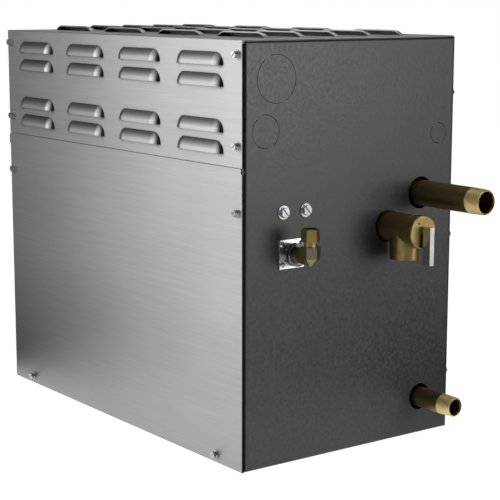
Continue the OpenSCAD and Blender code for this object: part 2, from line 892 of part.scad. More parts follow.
// Bolt places round the tank's mouth
bolt_end_x = (tank_x1 - tank_x0 + flange_w) / 2;
tank_mid_x = (tank_x0 + tank_x1) / 2;
bolt_side_y = (tank_w + flange_w) / 2;
bolt_places = concat(
  [for (s = [-1, 1]) for (i = [0 : bolt_rows - 1])
    [tank_mid_x + (2 * i / (bolt_rows - 1) - 1) * (bolt_end_x - flange_w / 2),
     tank_y + s * bolt_side_y]],
  [for (s = [-1, 1]) [tank_mid_x + s * bolt_end_x, tank_y]]);

module bolt_holes(z0, z1) {
  for (p = bolt_places) translate([p[0], p[1], z0 - over])
    cylinder(r = bolt_r + bolt_gap, h = z1 - z0 + 2 * over);
}

module tank_shell() {
  steam_hole = steam_r - end_thread_step + fit;
  drain_hole = drain_r - end_thread_step + fit;
  color(steel) {
    difference() {
      union() {
        prism_z([tank_x0, tank_y0, tank_z], [tank_x1, tank_y1, tank_top], tank_r);
        prism_z([tank_x0 - flange_w, tank_y0 - flange_w, tank_top - flange_t],
                [tank_x1 + flange_w, tank_y1 + flange_w, tank_top], tank_r);
        rod_x([tank_x1 - tank_wall, steam_y, steam_z], steam_r + boss_t, boss_l + tank_wall);
        rod_x([tank_x1 - tank_wall, relief_y, relief_z], steam_r + boss_t, boss_l + tank_wall);
        rod_x([tank_x1 - tank_wall, drain_y, drain_z], drain_r + boss_t, boss_l + tank_wall);
        rod_y([fill_x, tank_y0 - flange_w, inlet_z], fill_boss_r, flange_w + tank_wall);
      }
      prism_z([tank_x0 + tank_wall, tank_y0 + tank_wall, tank_z + tank_wall],
              [tank_x1 - tank_wall, tank_y1 - tank_wall, tank_top + over], tank_r - tank_wall);
      rod_x([tank_x1 - tank_gap, steam_y, steam_z], steam_hole, 2 * tank_gap);
      rod_x([tank_x1 - tank_gap, relief_y, relief_z], steam_hole, 2 * tank_gap);
      rod_x([tank_x1 - tank_gap, drain_y, drain_z], drain_hole, 2 * tank_gap);
      rod_y([fill_x, tank_y0 - 2 * flange_w, inlet_z], fill_r + fit, 3 * flange_w);
      bolt_holes(tank_top - flange_t, tank_top);
    }
  }
}

module tank_feet() {
  color(steel) for (s = [-1, 1]) difference() {
    span([s * foot_x - foot_w / 2, tank_y0 + tank_r, sheet],
         [s * foot_x + foot_w / 2, tank_y1 - tank_r, tank_z]);
    span([s * foot_x - foot_w / 2 + foot_t, tank_y0, sheet - over],
         [s * foot_x + foot_w / 2 - foot_t, tank_y1, tank_z - foot_t]);
  }
}

module tank_gasket() {
  color(black) difference() {
    prism_z([tank_x0 - flange_w, tank_y0 - flange_w, gasket_z],
            [tank_x1 + flange_w, tank_y1 + flange_w, lid_z], tank_r);
    prism_z([tank_x0 + tank_wall, tank_y0 + tank_wall, gasket_z - over],
            [tank_x1 - tank_wall, tank_y1 - tank_wall, lid_z + over], tank_r - tank_wall);
    bolt_holes(gasket_z, lid_z);
  }
}

module tank_lid() {
  color(steel) difference() {
    prism_z([tank_x0 - flange_w, tank_y0 - flange_w, lid_z],
            [tank_x1 + flange_w, tank_y1 + flange_w, lid_top], tank_r);
    bolt_holes(lid_z, lid_top);
    for (x = [element_x0, element_x1]) for (y = element_ys)
      translate([x, y, lid_z - over]) cylinder(r = element_r + fit, h = lid_t + 2 * over);
    translate([probe_x, tank_y, lid_z - over])
      cylinder(r = probe_r + fit, h = lid_t + 2 * over);
  }
}

module lid_bolts() {
  low = tank_top - flange_t;
  color(nickel) for (p = bolt_places) translate([p[0], p[1], 0]) {
    translate([0, 0, lid_top]) hex(bolt_af, bolt_head_h);
    translate([0, 0, low - bolt_nut_h - bolt_tip])
      cylinder(r = bolt_r, h = lid_top - low + bolt_nut_h + bolt_tip + bolt_head_h / 2);
    translate([0, 0, low - bolt_nut_h]) hex(bolt_af, bolt_nut_h);
  }
}

// Hairpin element: two upright legs, two quarter bends and a level run near the tank's floor
module hairpin(y) {
  low = tank_z + element_low;
  color(steel) {
    for (x = [element_x0, element_x1]) {
      translate([x, y, low + element_bend])
        cylinder(r = element_r, h = stub_top - low - element_bend);
      translate([x, y, stub_top - over]) cylinder(r = pin_r, h = pin_h + over);
    }
    rod_x([element_x0 + element_bend, y, low], element_r,
          element_x1 - element_x0 - 2 * element_bend);
    translate([element_x0 + element_bend, y, low + element_bend]) rotate([90, 0, 0])
      rotate([0, 0, 180]) rotate_extrude(angle = 90) translate([element_bend, 0])
        circle(r = element_r);
    translate([element_x1 - element_bend, y, low + element_bend]) rotate([90, 0, 0])
      rotate([0, 0, 270]) rotate_extrude(angle = 90) translate([element_bend, 0])
        circle(r = element_r);
  }
}

module heating_element_front() {
  hairpin(element_ys[0]);
}

module heating_element_rear() {
  hairpin(element_ys[1]);
}

// Places the children on every element leg at a height
module on_legs(z) {
  for (x = [element_x0, element_x1]) for (y = element_ys) translate([x, y, z]) children();
}

module element_fittings() {
  color(brass) on_legs(lid_top) difference() {
    hex(fitting_af, fitting_h);
    translate([0, 0, -over]) cylinder(r = element_r + fit, h = fitting_h + 2 * over);
  }
}

module element_insulators() {
  color([0.9, 0.88, 0.82]) on_legs(insulator_z) ring(insulator_r, pin_r + fit, insulator_h);
}

module terminal_nuts() {
  color(brass) on_legs(lug_z + lug_h) difference() {
    hex(terminal_nut_af, terminal_nut_h);
    translate([0, 0, -over]) cylinder(r = pin_r + fit, h = terminal_nut_h + 2 * over);
  }
}

module level_probe() {
  color(steel) translate([probe_x, tank_y, tank_top - probe_low])
    cylinder(r = probe_r, h = probe_low + lid_top - tank_top + probe_top);
}

module probe_fitting() {
  color(brass) translate([probe_x, tank_y, lid_top]) difference() {
    union() {
      hex(probe_af, probe_hex_h);
      cylinder(r = probe_r + probe_collar, h = probe_hex_h + probe_collar);
    }
    translate([0, 0, -over]) cylinder(r = probe_r + fit, h = probe_top);
  }
}

module high_limit_cutout() {
  color(black) translate([cutout_x, tank_y, lid_top]) difference() {
    union() {
      cylinder(r = cutout_r, h = cutout_h);
      translate([-cutout_r - cutout_ear, -cutout_ear / 2, 0])
        cube([2 * (cutout_r + cutout_ear), cutout_ear, cutout_foot]);
    }
    translate([0, 0, cutout_h - button_in - button_travel - cutout_well])
      cylinder(r = button_r + fit, h = cutout_h);
  }
}

module reset_button() {
  color([0.7, 0.1, 0.08]) translate([cutout_x, tank_y, lid_top + cutout_h - button_in])
    cylinder(r = button_r, h = button_in + button_out);
}

// Pipe from a tank boss out through the panel, along +X
module tank_pipe(y, z, r, bore, out) {
  x0 = tank_x1 - 2 * tank_wall;
  color(brass) translate([x0, y, z]) rotate([0, 90, 0])
    threaded_pipe(r, bore, xe + out - x0, xe + pipe_step_out - x0);
}

module steam_outlet_nipple() {
  tank_pipe(steam_y, steam_z, steam_r, steam_bore_r, steam_out);
}

module drain_nipple() {
  tank_pipe(drain_y, drain_z, drain_r, drain_bore_r, drain_out);
}

module safety_valve_nipple() {
  x0 = tank_x1 - 2 * tank_wall;
  color(brass) difference() {
    union() {
      rod_x([x0, relief_y, relief_z], steam_r - end_thread_step,
            xe + relief_thread - x0);
      rod_x([boss_x + thread_runout, relief_y, relief_z], steam_r,
            xe - relief_in - 2 * thread_runout - boss_x);
    }
    rod_x([x0 - over, relief_y, relief_z], steam_bore_r, xe + relief_thread - x0 + 2 * over);
  }
}

// Places the children on the relief valve's axis, z running out from the panel
module on_relief() {
  on_pipe_end(relief_y, relief_z) children();
}

module relief_valve_body() {
  color(brass) difference() {
    union() {
      on_relief() {
        translate([0, 0, -relief_in]) cylinder(r = relief_neck_r, h = relief_in + relief_body_out);
        translate([0, 0, -relief_in])
          cylinder(r = relief_ring_r, h = relief_in - relief_ring_back);
        translate([0, 0, relief_neck_out])
          cylinder(r1 = relief_r - relief_chamfer, r2 = relief_r, h = relief_chamfer);
        translate([0, 0, relief_neck_out + relief_chamfer])
          cylinder(r = relief_r, h = relief_body_out - relief_neck_out - relief_chamfer);
        translate([0, 0, relief_body_out - relief_collar_l])
          cylinder(r = relief_collar_r, h = relief_collar_l);
      }
      translate([xe + relief_outlet_out, relief_y, relief_z - relief_outlet_drop])
        cylinder(r = relief_outlet_r, h = relief_outlet_drop);
    }
    on_relief() {
      translate([0, 0, -relief_in - over])
        cylinder(r = steam_r - end_thread_step + fit, h = relief_in + relief_thread + over);
      translate([0, 0, relief_thread - over]) cylinder(r = relief_seat_r, h = relief_seat + 2 * over);
      translate([0, 0, relief_thread + relief_seat])
        cylinder(r = relief_chamber_r, h = relief_body_out);
    }
    translate([xe + relief_outlet_out, relief_y, relief_z - relief_outlet_drop - over]) {
      cylinder(r = relief_outlet_bore_r, h = relief_outlet_depth + over);
      cylinder(r = relief_passage_r, h = relief_outlet_drop);
    }
  }
}

module relief_valve_cap() {
  cap_l = relief_cap_out - relief_body_out;
  color(brass) on_relief() difference() {
    union() {
      translate([0, 0, relief_body_out - relief_spigot_l])
        cylinder(r = relief_chamber_r - fit, h = relief_spigot_l + over);
      translate([0, 0, relief_body_out])
        cylinder(r = relief_cap_r, h = cap_l - relief_chamfer);
      translate([0, 0, relief_cap_out - relief_chamfer])
        cylinder(r1 = relief_cap_r, r2 = relief_cap_r - relief_chamfer, h = relief_chamfer);
    }
    translate([0, 0, relief_body_out - relief_spigot_l - over])
      cylinder(r = cap_spring_r, h = cap_spring_depth + over);
    cylinder(r = stem_r + fit, h = relief_cap_out + over);
    translate([-cap_dot_z, cap_dot_y, relief_cap_out - cap_dot_depth])
      cylinder(r = cap_dot_r, h = cap_dot_depth + over);
  }
}

module relief_valve_stem() {
  seat_out = relief_thread + relief_seat;
  tongue_w = lever_w - 2 * lever_t - 2 * slide_gap;
  color(steel) on_relief() difference() {
    union() {
      translate([0, 0, seat_out]) cylinder(r = disc_r, h = disc_t);
      translate([0, 0, seat_out]) cylinder(r = stem_r, h = relief_cap_out - tongue_in - seat_out);
      intersection() {
        translate([0, 0, seat_out]) cylinder(r = stem_r, h = relief_cap_out + tongue_out - seat_out);
        translate([-tongue_h / 2, -tongue_w / 2, seat_out])
          cube([tongue_h, tongue_w, relief_cap_out + tongue_out]);
      }
    }
    translate([0, -lever_w, lever_pin_out]) rotate([-90, 0, 0])
      cylinder(r = lever_pin_r + fit, h = 2 * lever_w);
  }
}

module relief_valve_spring() {
  low = relief_thread + relief_seat + disc_t;
  high = relief_body_out - relief_spigot_l + cap_spring_depth;
  color(nickel) on_relief() translate([0, 0, low + fit])
    coil_spring(relief_coil_r, relief_wire_r, high - low - 2 * fit, relief_turns);
}

module lever_pin() {
  color(nickel) translate([xe + lever_pin_out, relief_y - lever_w / 2, relief_z])
    rotate([-90, 0, 0]) cylinder(r = lever_pin_r, h = lever_w);
}

// Channel-shaped lever that straddles the stem's tongue and hangs from the pin
module test_lever() {
  x0 = xe + relief_cap_out + lever_gap;
  color(nickel) difference() {
    span([x0, relief_y - lever_w / 2, relief_z - lever_drop],
         [x0 + lever_d, relief_y + lever_w / 2, relief_z + lever_top]);
    span([x0 - over, relief_y - lever_w / 2 + lever_t, relief_z - lever_drop - over],
         [x0 + lever_d - lever_t, relief_y + lever_w / 2 - lever_t, relief_z + lever_top + over]);
    rod_y([xe + lever_pin_out, relief_y - lever_w, relief_z], lever_pin_r + fit, 2 * lever_w);
  }
}

// Places the children at the inlet plate's four corner screws
module on_plate_corners() {
  for (s = [-1, 1]) for (t = [-1, 1])
    on_pipe_end(inlet_y + s * plate_screw_y, inlet_z + t * plate_screw_z) children();
}

module inlet_plate() {
  color(nickel) difference() {
    span([xe, inlet_y - plate_w / 2, inlet_z - plate_h / 2],
         [xe + plate_t, inlet_y + plate_w / 2, inlet_z + plate_h / 2]);
    rod_x([xe - over, inlet_y, inlet_z], spigot_r + spigot_gap, plate_t + 2 * over);
    on_plate_corners() translate([0, 0, -over])
      cylinder(r = plate_screw_r + fit, h = plate_t + 2 * over);
  }
}

module inlet_plate_screws() {
  shank = sheet + valve_flange_t + plate_t;
  color(nickel) on_plate_corners() translate([0, 0, plate_t]) difference() {
    union() {
      cylinder(r = plate_head_r, h = plate_head_h / 2);
      translate([0, 0, plate_head_h / 2])
        cylinder(r1 = plate_head_r, r2 = plate_head_r / 2, h = plate_head_h / 2);
      translate([0, 0, -shank]) cylinder(r = plate_screw_r, h = shank + plate_head_h / 2);
    }
    for (a = [0, 90]) rotate(a + slot_turn)
      translate([-plate_screw_r, -plate_slot / 2, plate_head_h / 2])
        cube([2 * plate_screw_r, plate_slot, plate_head_h]);
  }
}

// Solenoid valve body behind the panel, with its spigot, passages and plunger tube
module inlet_valve_body() {
  back = sheet + valve_flange_t;
  tube_top = inlet_z + core_up;
  core_low = plunger_top + plunger_gap;
  color(brass) difference() {
    union() {
      span([xe - back, inlet_y - plate_w / 2, inlet_z - plate_h / 2],
           [panel_back, inlet_y + plate_w / 2, inlet_z + plate_h / 2]);
      rod_x([xe - back, inlet_y, inlet_z], spigot_r, back + spigot_out);
      span([xe - back - valve_l, inlet_y - valve_y, inlet_z - valve_low],
           [xe - back + over / 2, inlet_y + valve_y, valve_top]);
      translate([valve_x, inlet_y, inlet_z]) cylinder(r = core_r, h = core_up);
    }
    rod_x([valve_x - orifice_r / 2, inlet_y, inlet_z], spigot_bore_r,
          valve_axis + orifice_r / 2 + spigot_out + over);
    rod_x([xe - sheet - over, inlet_y, inlet_z], elbow_stub_r + fit, spigot_out + 2 * over + sheet);
    rod_x([xe - back - valve_l - over, inlet_y, inlet_z], fill_r + fit, valve_bore_out + over);
    rod_x([xe - back - valve_l - over, inlet_y, inlet_z], fill_bore_r,
          back + valve_l + over - valve_axis - outlet_hole_in + outlet_hole_r / 2);
    translate([valve_x, inlet_y, inlet_z]) cylinder(r = orifice_r, h = chamber_up + over);
    translate([valve_x - outlet_hole_in, inlet_y, inlet_z])
      cylinder(r = outlet_hole_r, h = chamber_up + over);
    translate([valve_x, inlet_y, chamber_z]) cylinder(r = chamber_r, h = core_low - chamber_z);
    translate([valve_x, inlet_y, core_low + core_top])
      cylinder(r = chamber_r / 2, h = tube_top);
    for (s = [-1, 1]) for (t = [-1, 1])
      rod_x([xe - back - over, inlet_y + s * plate_screw_y, inlet_z + t * plate_screw_z],
            plate_screw_r + fit, valve_flange_t + 2 * over);
  }
}

module solenoid_coil() {
  cut = coil_w * coil_chamfer_share;
  color(black) difference() {
    span([valve_x - coil_w / 2, inlet_y - coil_y / 2, valve_top],
         [valve_x + coil_w / 2, inlet_y + coil_y / 2, valve_top + coil_h]);
    translate([valve_x, inlet_y, valve_top - over])
      cylinder(r = core_r + fit, h = coil_h + 2 * over);
    for (s = [-1, 1]) translate([valve_x + s * coil_w / 2, inlet_y - coil_y / 2, valve_top - over])
      rotate([0, 0, 45]) translate([-cut / 2, -cut / 2, 0]) cube([cut, cut, coil_h + 2 * over]);
  }
}

module valve_bracket() {
  arm_z = valve_top + coil_h;
  color(steel) difference() {
    union() {
      span([panel_back - bracket_t, bracket_y0, bracket_low],
           [panel_back, bracket_y1, arm_z + bracket_t]);
      span([valve_x - coil_w / 2, inlet_y - coil_y / 2, arm_z],
           [panel_back, inlet_y + coil_y / 2, arm_z + bracket_t]);
    }
    translate([valve_x, inlet_y, arm_z - over]) cylinder(r = core_r + fit, h = bracket_t + 2 * over);
    for (y = bracket_screw_ys)
      rod_x([panel_back - bracket_t - over, y, bracket_screw_z], big_shank_r + fit,
            bracket_t + 2 * over);
  }
}

module coil_nut() {
  color(nickel) translate([valve_x, inlet_y, valve_top + coil_h + bracket_t]) difference() {
    hex(coil_nut_af, coil_nut_h);
    translate([0, 0, -over]) cylinder(r = core_r + fit, h = coil_nut_h + 2 * over);
  }
}

module bracket_screws() {
  color(nickel) for (y = bracket_screw_ys) on_pipe_end(y, bracket_screw_z)
    slotted_screw(big_flange_r, big_washer_t, big_hex_r, big_head_h, big_shank_r,
                  sheet + bracket_t + big_tip, big_slot_w, big_slot_d, slot_turn);
}

module solenoid_plunger() {
  color(steel) translate([valve_x, inlet_y, chamber_z]) {
    cylinder(r = tip_r, h = tip_h + over);
    translate([0, 0, tip_h]) cylinder(r = chamber_r - fit, h = plunger_h);
  }
}

module plunger_spring() {
  color(nickel) translate([valve_x, inlet_y, plunger_top + fit])
    coil_spring(plunger_coil_r, plunger_wire_r, plunger_gap - 2 * fit, plunger_turns);
}

// Grooved collar on the spigot, outside the plate
module inlet_collar() {
  color(nickel) on_pipe_end(inlet_y, inlet_z) difference() {
    union() {
      translate([0, 0, plate_t]) cylinder(r = collar_r, h = collar_out - plate_t - collar_chamfer);
      translate([0, 0, collar_out - collar_chamfer])
        cylinder(r1 = collar_r, r2 = collar_r - collar_chamfer, h = collar_chamfer);
    }
    translate([0, 0, plate_t - over]) cylinder(r = spigot_r + fit, h = spigot_out - plate_t + over);
    cylinder(r = elbow_stub_r + fit, h = collar_out + over);
    translate([0, 0, groove_out]) ring(collar_r + over, collar_r - groove_d, groove_w);
  }
}

module collar_seal() {
  color(black) on_pipe_end(inlet_y, inlet_z) translate([0, 0, groove_out + fit])
    ring(collar_r - slide_gap, collar_r - groove_d + fit, groove_w - 2 * fit);
}

// Forged elbow: stub, ring, level arm, mitred corner and upright neck
module inlet_elbow() {
  x1 = xe + elbow_out;
  ring_out = collar_out + elbow_ring_l;
  color(brass) difference() {
    union() {
      rod_x([xe, inlet_y, inlet_z], elbow_stub_r, ring_out);
      rod_x([xe + collar_out, inlet_y, inlet_z], elbow_ring_r, elbow_ring_l);
      rod_x([xe + ring_out - over, inlet_y, inlet_z], elbow_r, elbow_out - ring_out + over);
      translate([x1, inlet_y, inlet_z - elbow_hex_low])
        cylinder(r = elbow_hex_r, h = elbow_hex_low + elbow_hex_up, $fn = 6);
      translate([x1, inlet_y, inlet_z - elbow_hex_low - elbow_point_l])
        cylinder(r1 = elbow_point_r, r2 = elbow_hex_r, h = elbow_point_l, $fn = 6);
      translate([x1, inlet_y, inlet_z]) cylinder(r = neck_r, h = neck_z + neck_up);
    }
    rod_x([xe - over, inlet_y, inlet_z], elbow_bore_r, elbow_out + over);
    translate([x1, inlet_y, inlet_z]) cylinder(r = elbow_bore_r, h = neck_z + neck_up + over);
    translate([x1, inlet_y, inlet_z + neck_z + neck_up - socket_depth])
      cylinder(r = supply_tube_r + fit, h = socket_depth + over);
  }
}

module compression_nut() {
  color(brass) translate([xe + elbow_out, inlet_y, nut_z]) difference() {
    intersection() {
      hex(nut_af, nut_h);
      union() {
        cylinder(r = nut_af, h = nut_h - nut_chamfer);
        translate([0, 0, nut_h - nut_chamfer])
          cylinder(r1 = nut_af / sqrt(3), r2 = nut_af / sqrt(3) - 2 * nut_chamfer, h = nut_chamfer);
      }
    }
    translate([0, 0, -over]) cylinder(r = neck_r + fit, h = nut_h - nut_wall_top + over);
    cylinder(r = supply_tube_r + 2 * fit, h = nut_h + over);
  }
}

module compression_ferrule() {
  color(brass) translate([xe + elbow_out, inlet_y, nut_z + neck_up]) difference() {
    cylinder(r1 = ferrule_r, r2 = ferrule_r - ferrule_taper, h = nut_h - nut_wall_top - neck_up);
    translate([0, 0, -over]) cylinder(r = supply_tube_r + 2 * fit, h = nut_h);
  }
}

// Tube path: back from the valve, a quarter bend and across into the tank
module fill_tube() {
  x1 = xe - sheet - valve_flange_t - valve_l + valve_bore_out - tube_end_gap;
  bend_x = fill_x + fill_bend;
  bend_y = inlet_y + fill_bend;
  y1 = tank_y0 + tank_wall + fill_in;
  color(steel) {
    translate([bend_x, inlet_y, inlet_z]) rotate([0, 90, 0]) ring(fill_r, fill_bore_r, x1 - bend_x);
    translate([bend_x, bend_y, inlet_z]) rotate([0, 0, 180]) rotate_extrude(angle = 90)
      translate([fill_bend, 0]) difference() {
        circle(r = fill_r);
        circle(r = fill_bore_r);
      }
    translate([fill_x, bend_y, inlet_z]) rotate([-90, 0, 0]) ring(fill_r, fill_bore_r, y1 - bend_y);
  }
}

// Contactor on the divider wall, with stepped terminal shoulders and a guide for its armature
module contactor_body() {
  y0 = div_y - contactor_d;
  x1 = contactor_w / 2;
  z1 = contactor_z + contactor_h;
  color(black) difference() {
    span([-x1, y0, contactor_z], [x1, div_y, z1]);
    span([-x1 - over, y0 - over, contactor_z - over],
         [x1 + over, y0 + contactor_step, contactor_z + contactor_lug]);
    span([-x1 - over, y0 - over, z1 - contactor_lug], [x1 + over, y0 + contactor_step, z1 + over]);
    span([-arm_w / 2, y0 - over, contactor_z + (contactor_h - arm_h) / 2],
         [arm_w / 2, y0 + arm_pocket, contactor_z + (contactor_h + arm_h) / 2]);
  }
}

module contactor_armature() {
  y0 = div_y - contactor_d;
  mid = contactor_z + contactor_h / 2;
  color([0.75, 0.75, 0.7])
    span([-arm_w / 2 + slide_gap, y0 - arm_out, mid - arm_h / 2 + slide_gap],
         [arm_w / 2 - slide_gap, y0 - arm_out + arm_l, mid + arm_h / 2 - slide_gap]);
}

module armature_spring() {
  y0 = div_y - contactor_d;
  low = y0 - arm_out + arm_l;
  color(nickel) translate([0, low + fit, contactor_z + contactor_h / 2]) rotate([-90, 0, 0])
    coil_spring(arm_spring_r, arm_wire_r, y0 + arm_pocket - low - 2 * fit, arm_turns);
}

// Laminated transformer core with two windows, standing on the base
module transformer_core() {
  leg = transformer_leg;
  color([0.35, 0.35, 0.36]) translate([transformer_x, transformer_y, sheet]) difference() {
    translate([-transformer_w / 2, -transformer_d / 4, 0])
      cube([transformer_w, transformer_d / 2, transformer_h]);
    for (s = [-1, 1]) translate([s * (transformer_w / 4 - leg / 8), 0, transformer_h / 2])
      cube([transformer_w / 2 - leg - leg / 4, transformer_d, transformer_h - 2 * leg],
           center = true);
  }
}

module transformer_coil() {
  leg = transformer_leg;
  half = transformer_w / 2 - leg - leg / 4;
  core_half = transformer_w / 4 - leg / 8 - half / 2;
  color([0.55, 0.35, 0.15])
    translate([transformer_x, transformer_y, sheet + leg + bobbin_gap]) difference() {
      translate([-core_half - half + bobbin_gap, -transformer_d / 4 - bobbin_out, 0])
        cube([2 * (core_half + half - bobbin_gap), transformer_d / 2 + 2 * bobbin_out,
              transformer_h - 2 * leg - 2 * bobbin_gap]);
      translate([-core_half - bobbin_gap / 2, -transformer_d / 4 - bobbin_gap / 2, -over])
        cube([2 * core_half + bobbin_gap, transformer_d / 2 + bobbin_gap, transformer_h]);
      for (s = [-1, 1]) translate([s * (core_half + half), 0, transformer_h / 2])
        cube([2 * bobbin_gap, transformer_d, 2 * transformer_h], center = true);
    }
}

module terminal_block() {
  color(black) translate([0, block_y, sheet]) difference() {
    translate([-block_w / 2, -block_d / 2, 0]) cube([block_w, block_d, block_h]);
    for (s = [-1, 1]) translate([-block_w, s * block_d / 2 - block_step / 2, block_h / 2])
      cube([2 * block_w, block_step, block_h]);
  }
}

module control_board() {
  y1 = div_y - standoff_l;
  color([0.1, 0.35, 0.2]) {
    difference() {
      span([board_x, y1 - board_t, board_z], [board_x + board_w, y1, board_z + board_h]);
      for (x = [board_edge, board_w - board_edge]) for (z = [board_edge, board_h - board_edge])
        rod_y([board_x + x, y1 - board_t - over, board_z + z], standoff_r / 2 + fit,
              board_t + 2 * over);
    }
    for (i = [0, 1, 2])
      span([board_x + board_edge + i * (relay_w + board_edge), y1 - board_t - relay_h,
            board_z + board_h / 2],
           [board_x + board_edge + i * (relay_w + board_edge) + relay_w, y1 - board_t,
            board_z + board_h / 2 + relay_d]);
    span([board_x + board_w - board_edge - relay_w, y1 - board_t - relay_d / 2,
          board_z + 2 * board_edge],
         [board_x + board_w - board_edge, y1 - board_t, board_z + 2 * board_edge + 2 * relay_w]);
  }
}

// Hexagon spacers between the divider wall and the board, each with a headed stud
module board_standoffs() {
  y1 = div_y - standoff_l;
  color(brass) for (x = [board_edge, board_w - board_edge])
    for (z = [board_edge, board_h - board_edge])
      translate([board_x + x, div_y, board_z + z]) rotate([90, 0, 0]) {
        cylinder(r = standoff_r, h = standoff_l, $fn = 6);
        cylinder(r = standoff_r / 2, h = standoff_l + board_t + stud_head_h / 2);
        translate([0, 0, standoff_l + board_t]) cylinder(r = standoff_r, h = stud_head_h);
      }
}

// Leads from the contactor through the grommets to the elements, and the supply leads below
module power_leads() {
  top = contactor_z + contactor_h;
  color(black) {
    for (s = [-1, 1]) for (row = [0, 1]) {
      x = s * contactor_w * pole_x_shares[row];
      y = lead_ys[row];
      gx = s * (grommet_x + lead_spreads[row]);
      leg_x = s < 0 ? element_x0 : element_x1;
      leg_y = element_ys[row];
      difference() {
        union() {
          wire_run([[x, y, top], [x, y, lead_z], [gx, y, lead_z], [gx, leg_y, lead_z],
                    [leg_x, leg_y, lead_z]], lead_r, lead_bend);
          translate([leg_x, leg_y, lug_z]) cylinder(r = lug_r, h = lug_h);
        }
        translate([leg_x, leg_y, lug_z - over]) cylinder(r = pin_r + fit, h = lug_h + 2 * over);
      }
    }
    for (s = [-1, 1]) translate([s * supply_x, block_y, sheet + block_h])
      cylinder(r = supply_r, h = contactor_z - sheet - block_h);
  }
}

module control_wires() {
  x0 = board_x + board_w - board_edge - relay_w / 2;
  y0 = div_y - standoff_l - board_t - relay_d / 2;
  color([0.6, 0.1, 0.1]) for (s = [0, 1]) {
    z0 = board_z + 2 * board_edge + relay_w / 2 + s * relay_w;
    z1 = valve_top + coil_h / 4 + s * coil_h / 2;
    xw = x0 - s * board_edge / 2;
    wire_run([[xw, y0, z0], [xw, wire_y - s * wire_step, z0], [xw, wire_y - s * wire_step, z1],
              [valve_x - coil_w / 2, wire_y - s * wire_step, z1]], wire_r, wire_bend);
  }
}

chassis_base();
pipe_end_panel();
far_end_panel();
rear_panel();
front_lower_panel();
louvred_cover();
cover_screws();
panel_screws();
rear_screws();
divider_wall();
wire_grommets();
tank_shell();
tank_feet();
tank_gasket();
tank_lid();
lid_bolts();
heating_element_front();
heating_element_rear();
element_fittings();
element_insulators();
terminal_nuts();
level_probe();
probe_fitting();
high_limit_cutout();
reset_button();
steam_outlet_nipple();
drain_nipple();
safety_valve_nipple();
relief_valve_body();
relief_valve_cap();
relief_valve_stem();
relief_valve_spring();
lever_pin();
test_lever();
inlet_plate();
inlet_plate_screws();
inlet_valve_body();
solenoid_coil();
coil_nut();
solenoid_plunger();
plunger_spring();
valve_bracket();
bracket_screws();
inlet_collar();
collar_seal();
inlet_elbow();
compression_ferrule();
compression_nut();
fill_tube();
contactor_body();
contactor_armature();
armature_spring();
transformer_core();
transformer_coil();
terminal_block();
control_board();
board_standoffs();
power_leads();
control_wires();
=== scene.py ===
"""The look of the steam generator: materials, finished pieces, studio and camera.

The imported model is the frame. Sheet metal and inner pieces keep their CAD mesh
and get materials here. The two pipes are built again with cut threads, and the
fittings and screws that show are the CAD forms with their edges rounded.
"""

import json
import math

import bmesh
import bpy
import numpy as np
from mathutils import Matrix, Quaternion, Vector


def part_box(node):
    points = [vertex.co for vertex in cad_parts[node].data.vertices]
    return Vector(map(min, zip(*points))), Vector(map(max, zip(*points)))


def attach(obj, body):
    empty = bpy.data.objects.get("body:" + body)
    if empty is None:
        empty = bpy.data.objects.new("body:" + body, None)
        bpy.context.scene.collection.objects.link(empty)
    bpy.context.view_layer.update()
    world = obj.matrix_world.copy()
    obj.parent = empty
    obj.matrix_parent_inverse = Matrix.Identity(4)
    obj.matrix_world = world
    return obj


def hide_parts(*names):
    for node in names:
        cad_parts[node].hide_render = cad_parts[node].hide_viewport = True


MM = 0.001
TURN = 2 * math.pi

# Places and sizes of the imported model, in mm
STEAM_PIPE = {"axis": (92.3, 258.5), "radius": 13.335, "bore": 10.4,
              "thread_start": 311.65, "tip": 329.65}
DRAIN_PIPE = {"axis": (96.9, 39.5), "radius": 10.67, "bore": 7.7,
              "thread_start": 271.35, "tip": 289.35}
CREST_DROP = 1 / 32
PIPE_STEP_X = 213.0
RELIEF_RING_FRONT_X = 231.05
NUT_BORE_R = 5.8

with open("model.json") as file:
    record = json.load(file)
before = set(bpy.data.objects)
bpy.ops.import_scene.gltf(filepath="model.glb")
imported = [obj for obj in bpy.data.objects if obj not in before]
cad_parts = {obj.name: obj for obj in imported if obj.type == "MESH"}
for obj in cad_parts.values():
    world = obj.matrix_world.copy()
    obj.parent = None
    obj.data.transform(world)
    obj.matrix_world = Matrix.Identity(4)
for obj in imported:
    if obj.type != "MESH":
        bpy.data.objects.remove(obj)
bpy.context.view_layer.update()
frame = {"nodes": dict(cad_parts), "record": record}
nodes = frame["nodes"]


# Node trees

def link_value(tree, socket, value):
    """Sets an input to a number or colour, or joins it to another node's output."""
    if isinstance(value, bpy.types.NodeSocket):
        tree.links.new(value, socket)
    else:
        socket.default_value = value


def add(tree, kind, inputs=(), **settings):
    """A new node with its settings, and its inputs given as (name, value) pairs."""
    made = tree.nodes.new(kind)
    for name, value in settings.items():
        setattr(made, name, value)
    for name, value in inputs:
        link_value(tree, made.inputs[name], value)
    return made


def mix_colour(tree, share, first, second, blend="MIX"):
    """A colour between first and second."""
    made = add(tree, "ShaderNodeMix", data_type="RGBA", blend_type=blend)
    link_value(tree, made.inputs[0], share)
    link_value(tree, made.inputs[6], first)
    link_value(tree, made.inputs[7], second)
    return made.outputs[2]


def remap(tree, value, low, high, to_low, to_high):
    """Value moved from one range to another."""
    return add(tree, "ShaderNodeMapRange", [
        ("Value", value), ("From Min", low), ("From Max", high),
        ("To Min", to_low), ("To Max", to_high)]).outputs["Result"]


def calc(tree, operation, *values):
    """The result of one sum on one to three values."""
    return add(tree, "ShaderNodeMath", enumerate(values), operation=operation).outputs[0]


def scaled(tree, colour, level):
    """A colour times a level."""
    return add(tree, "ShaderNodeVectorMath", [(0, colour), ("Scale", level)],
               operation="SCALE").outputs["Vector"]


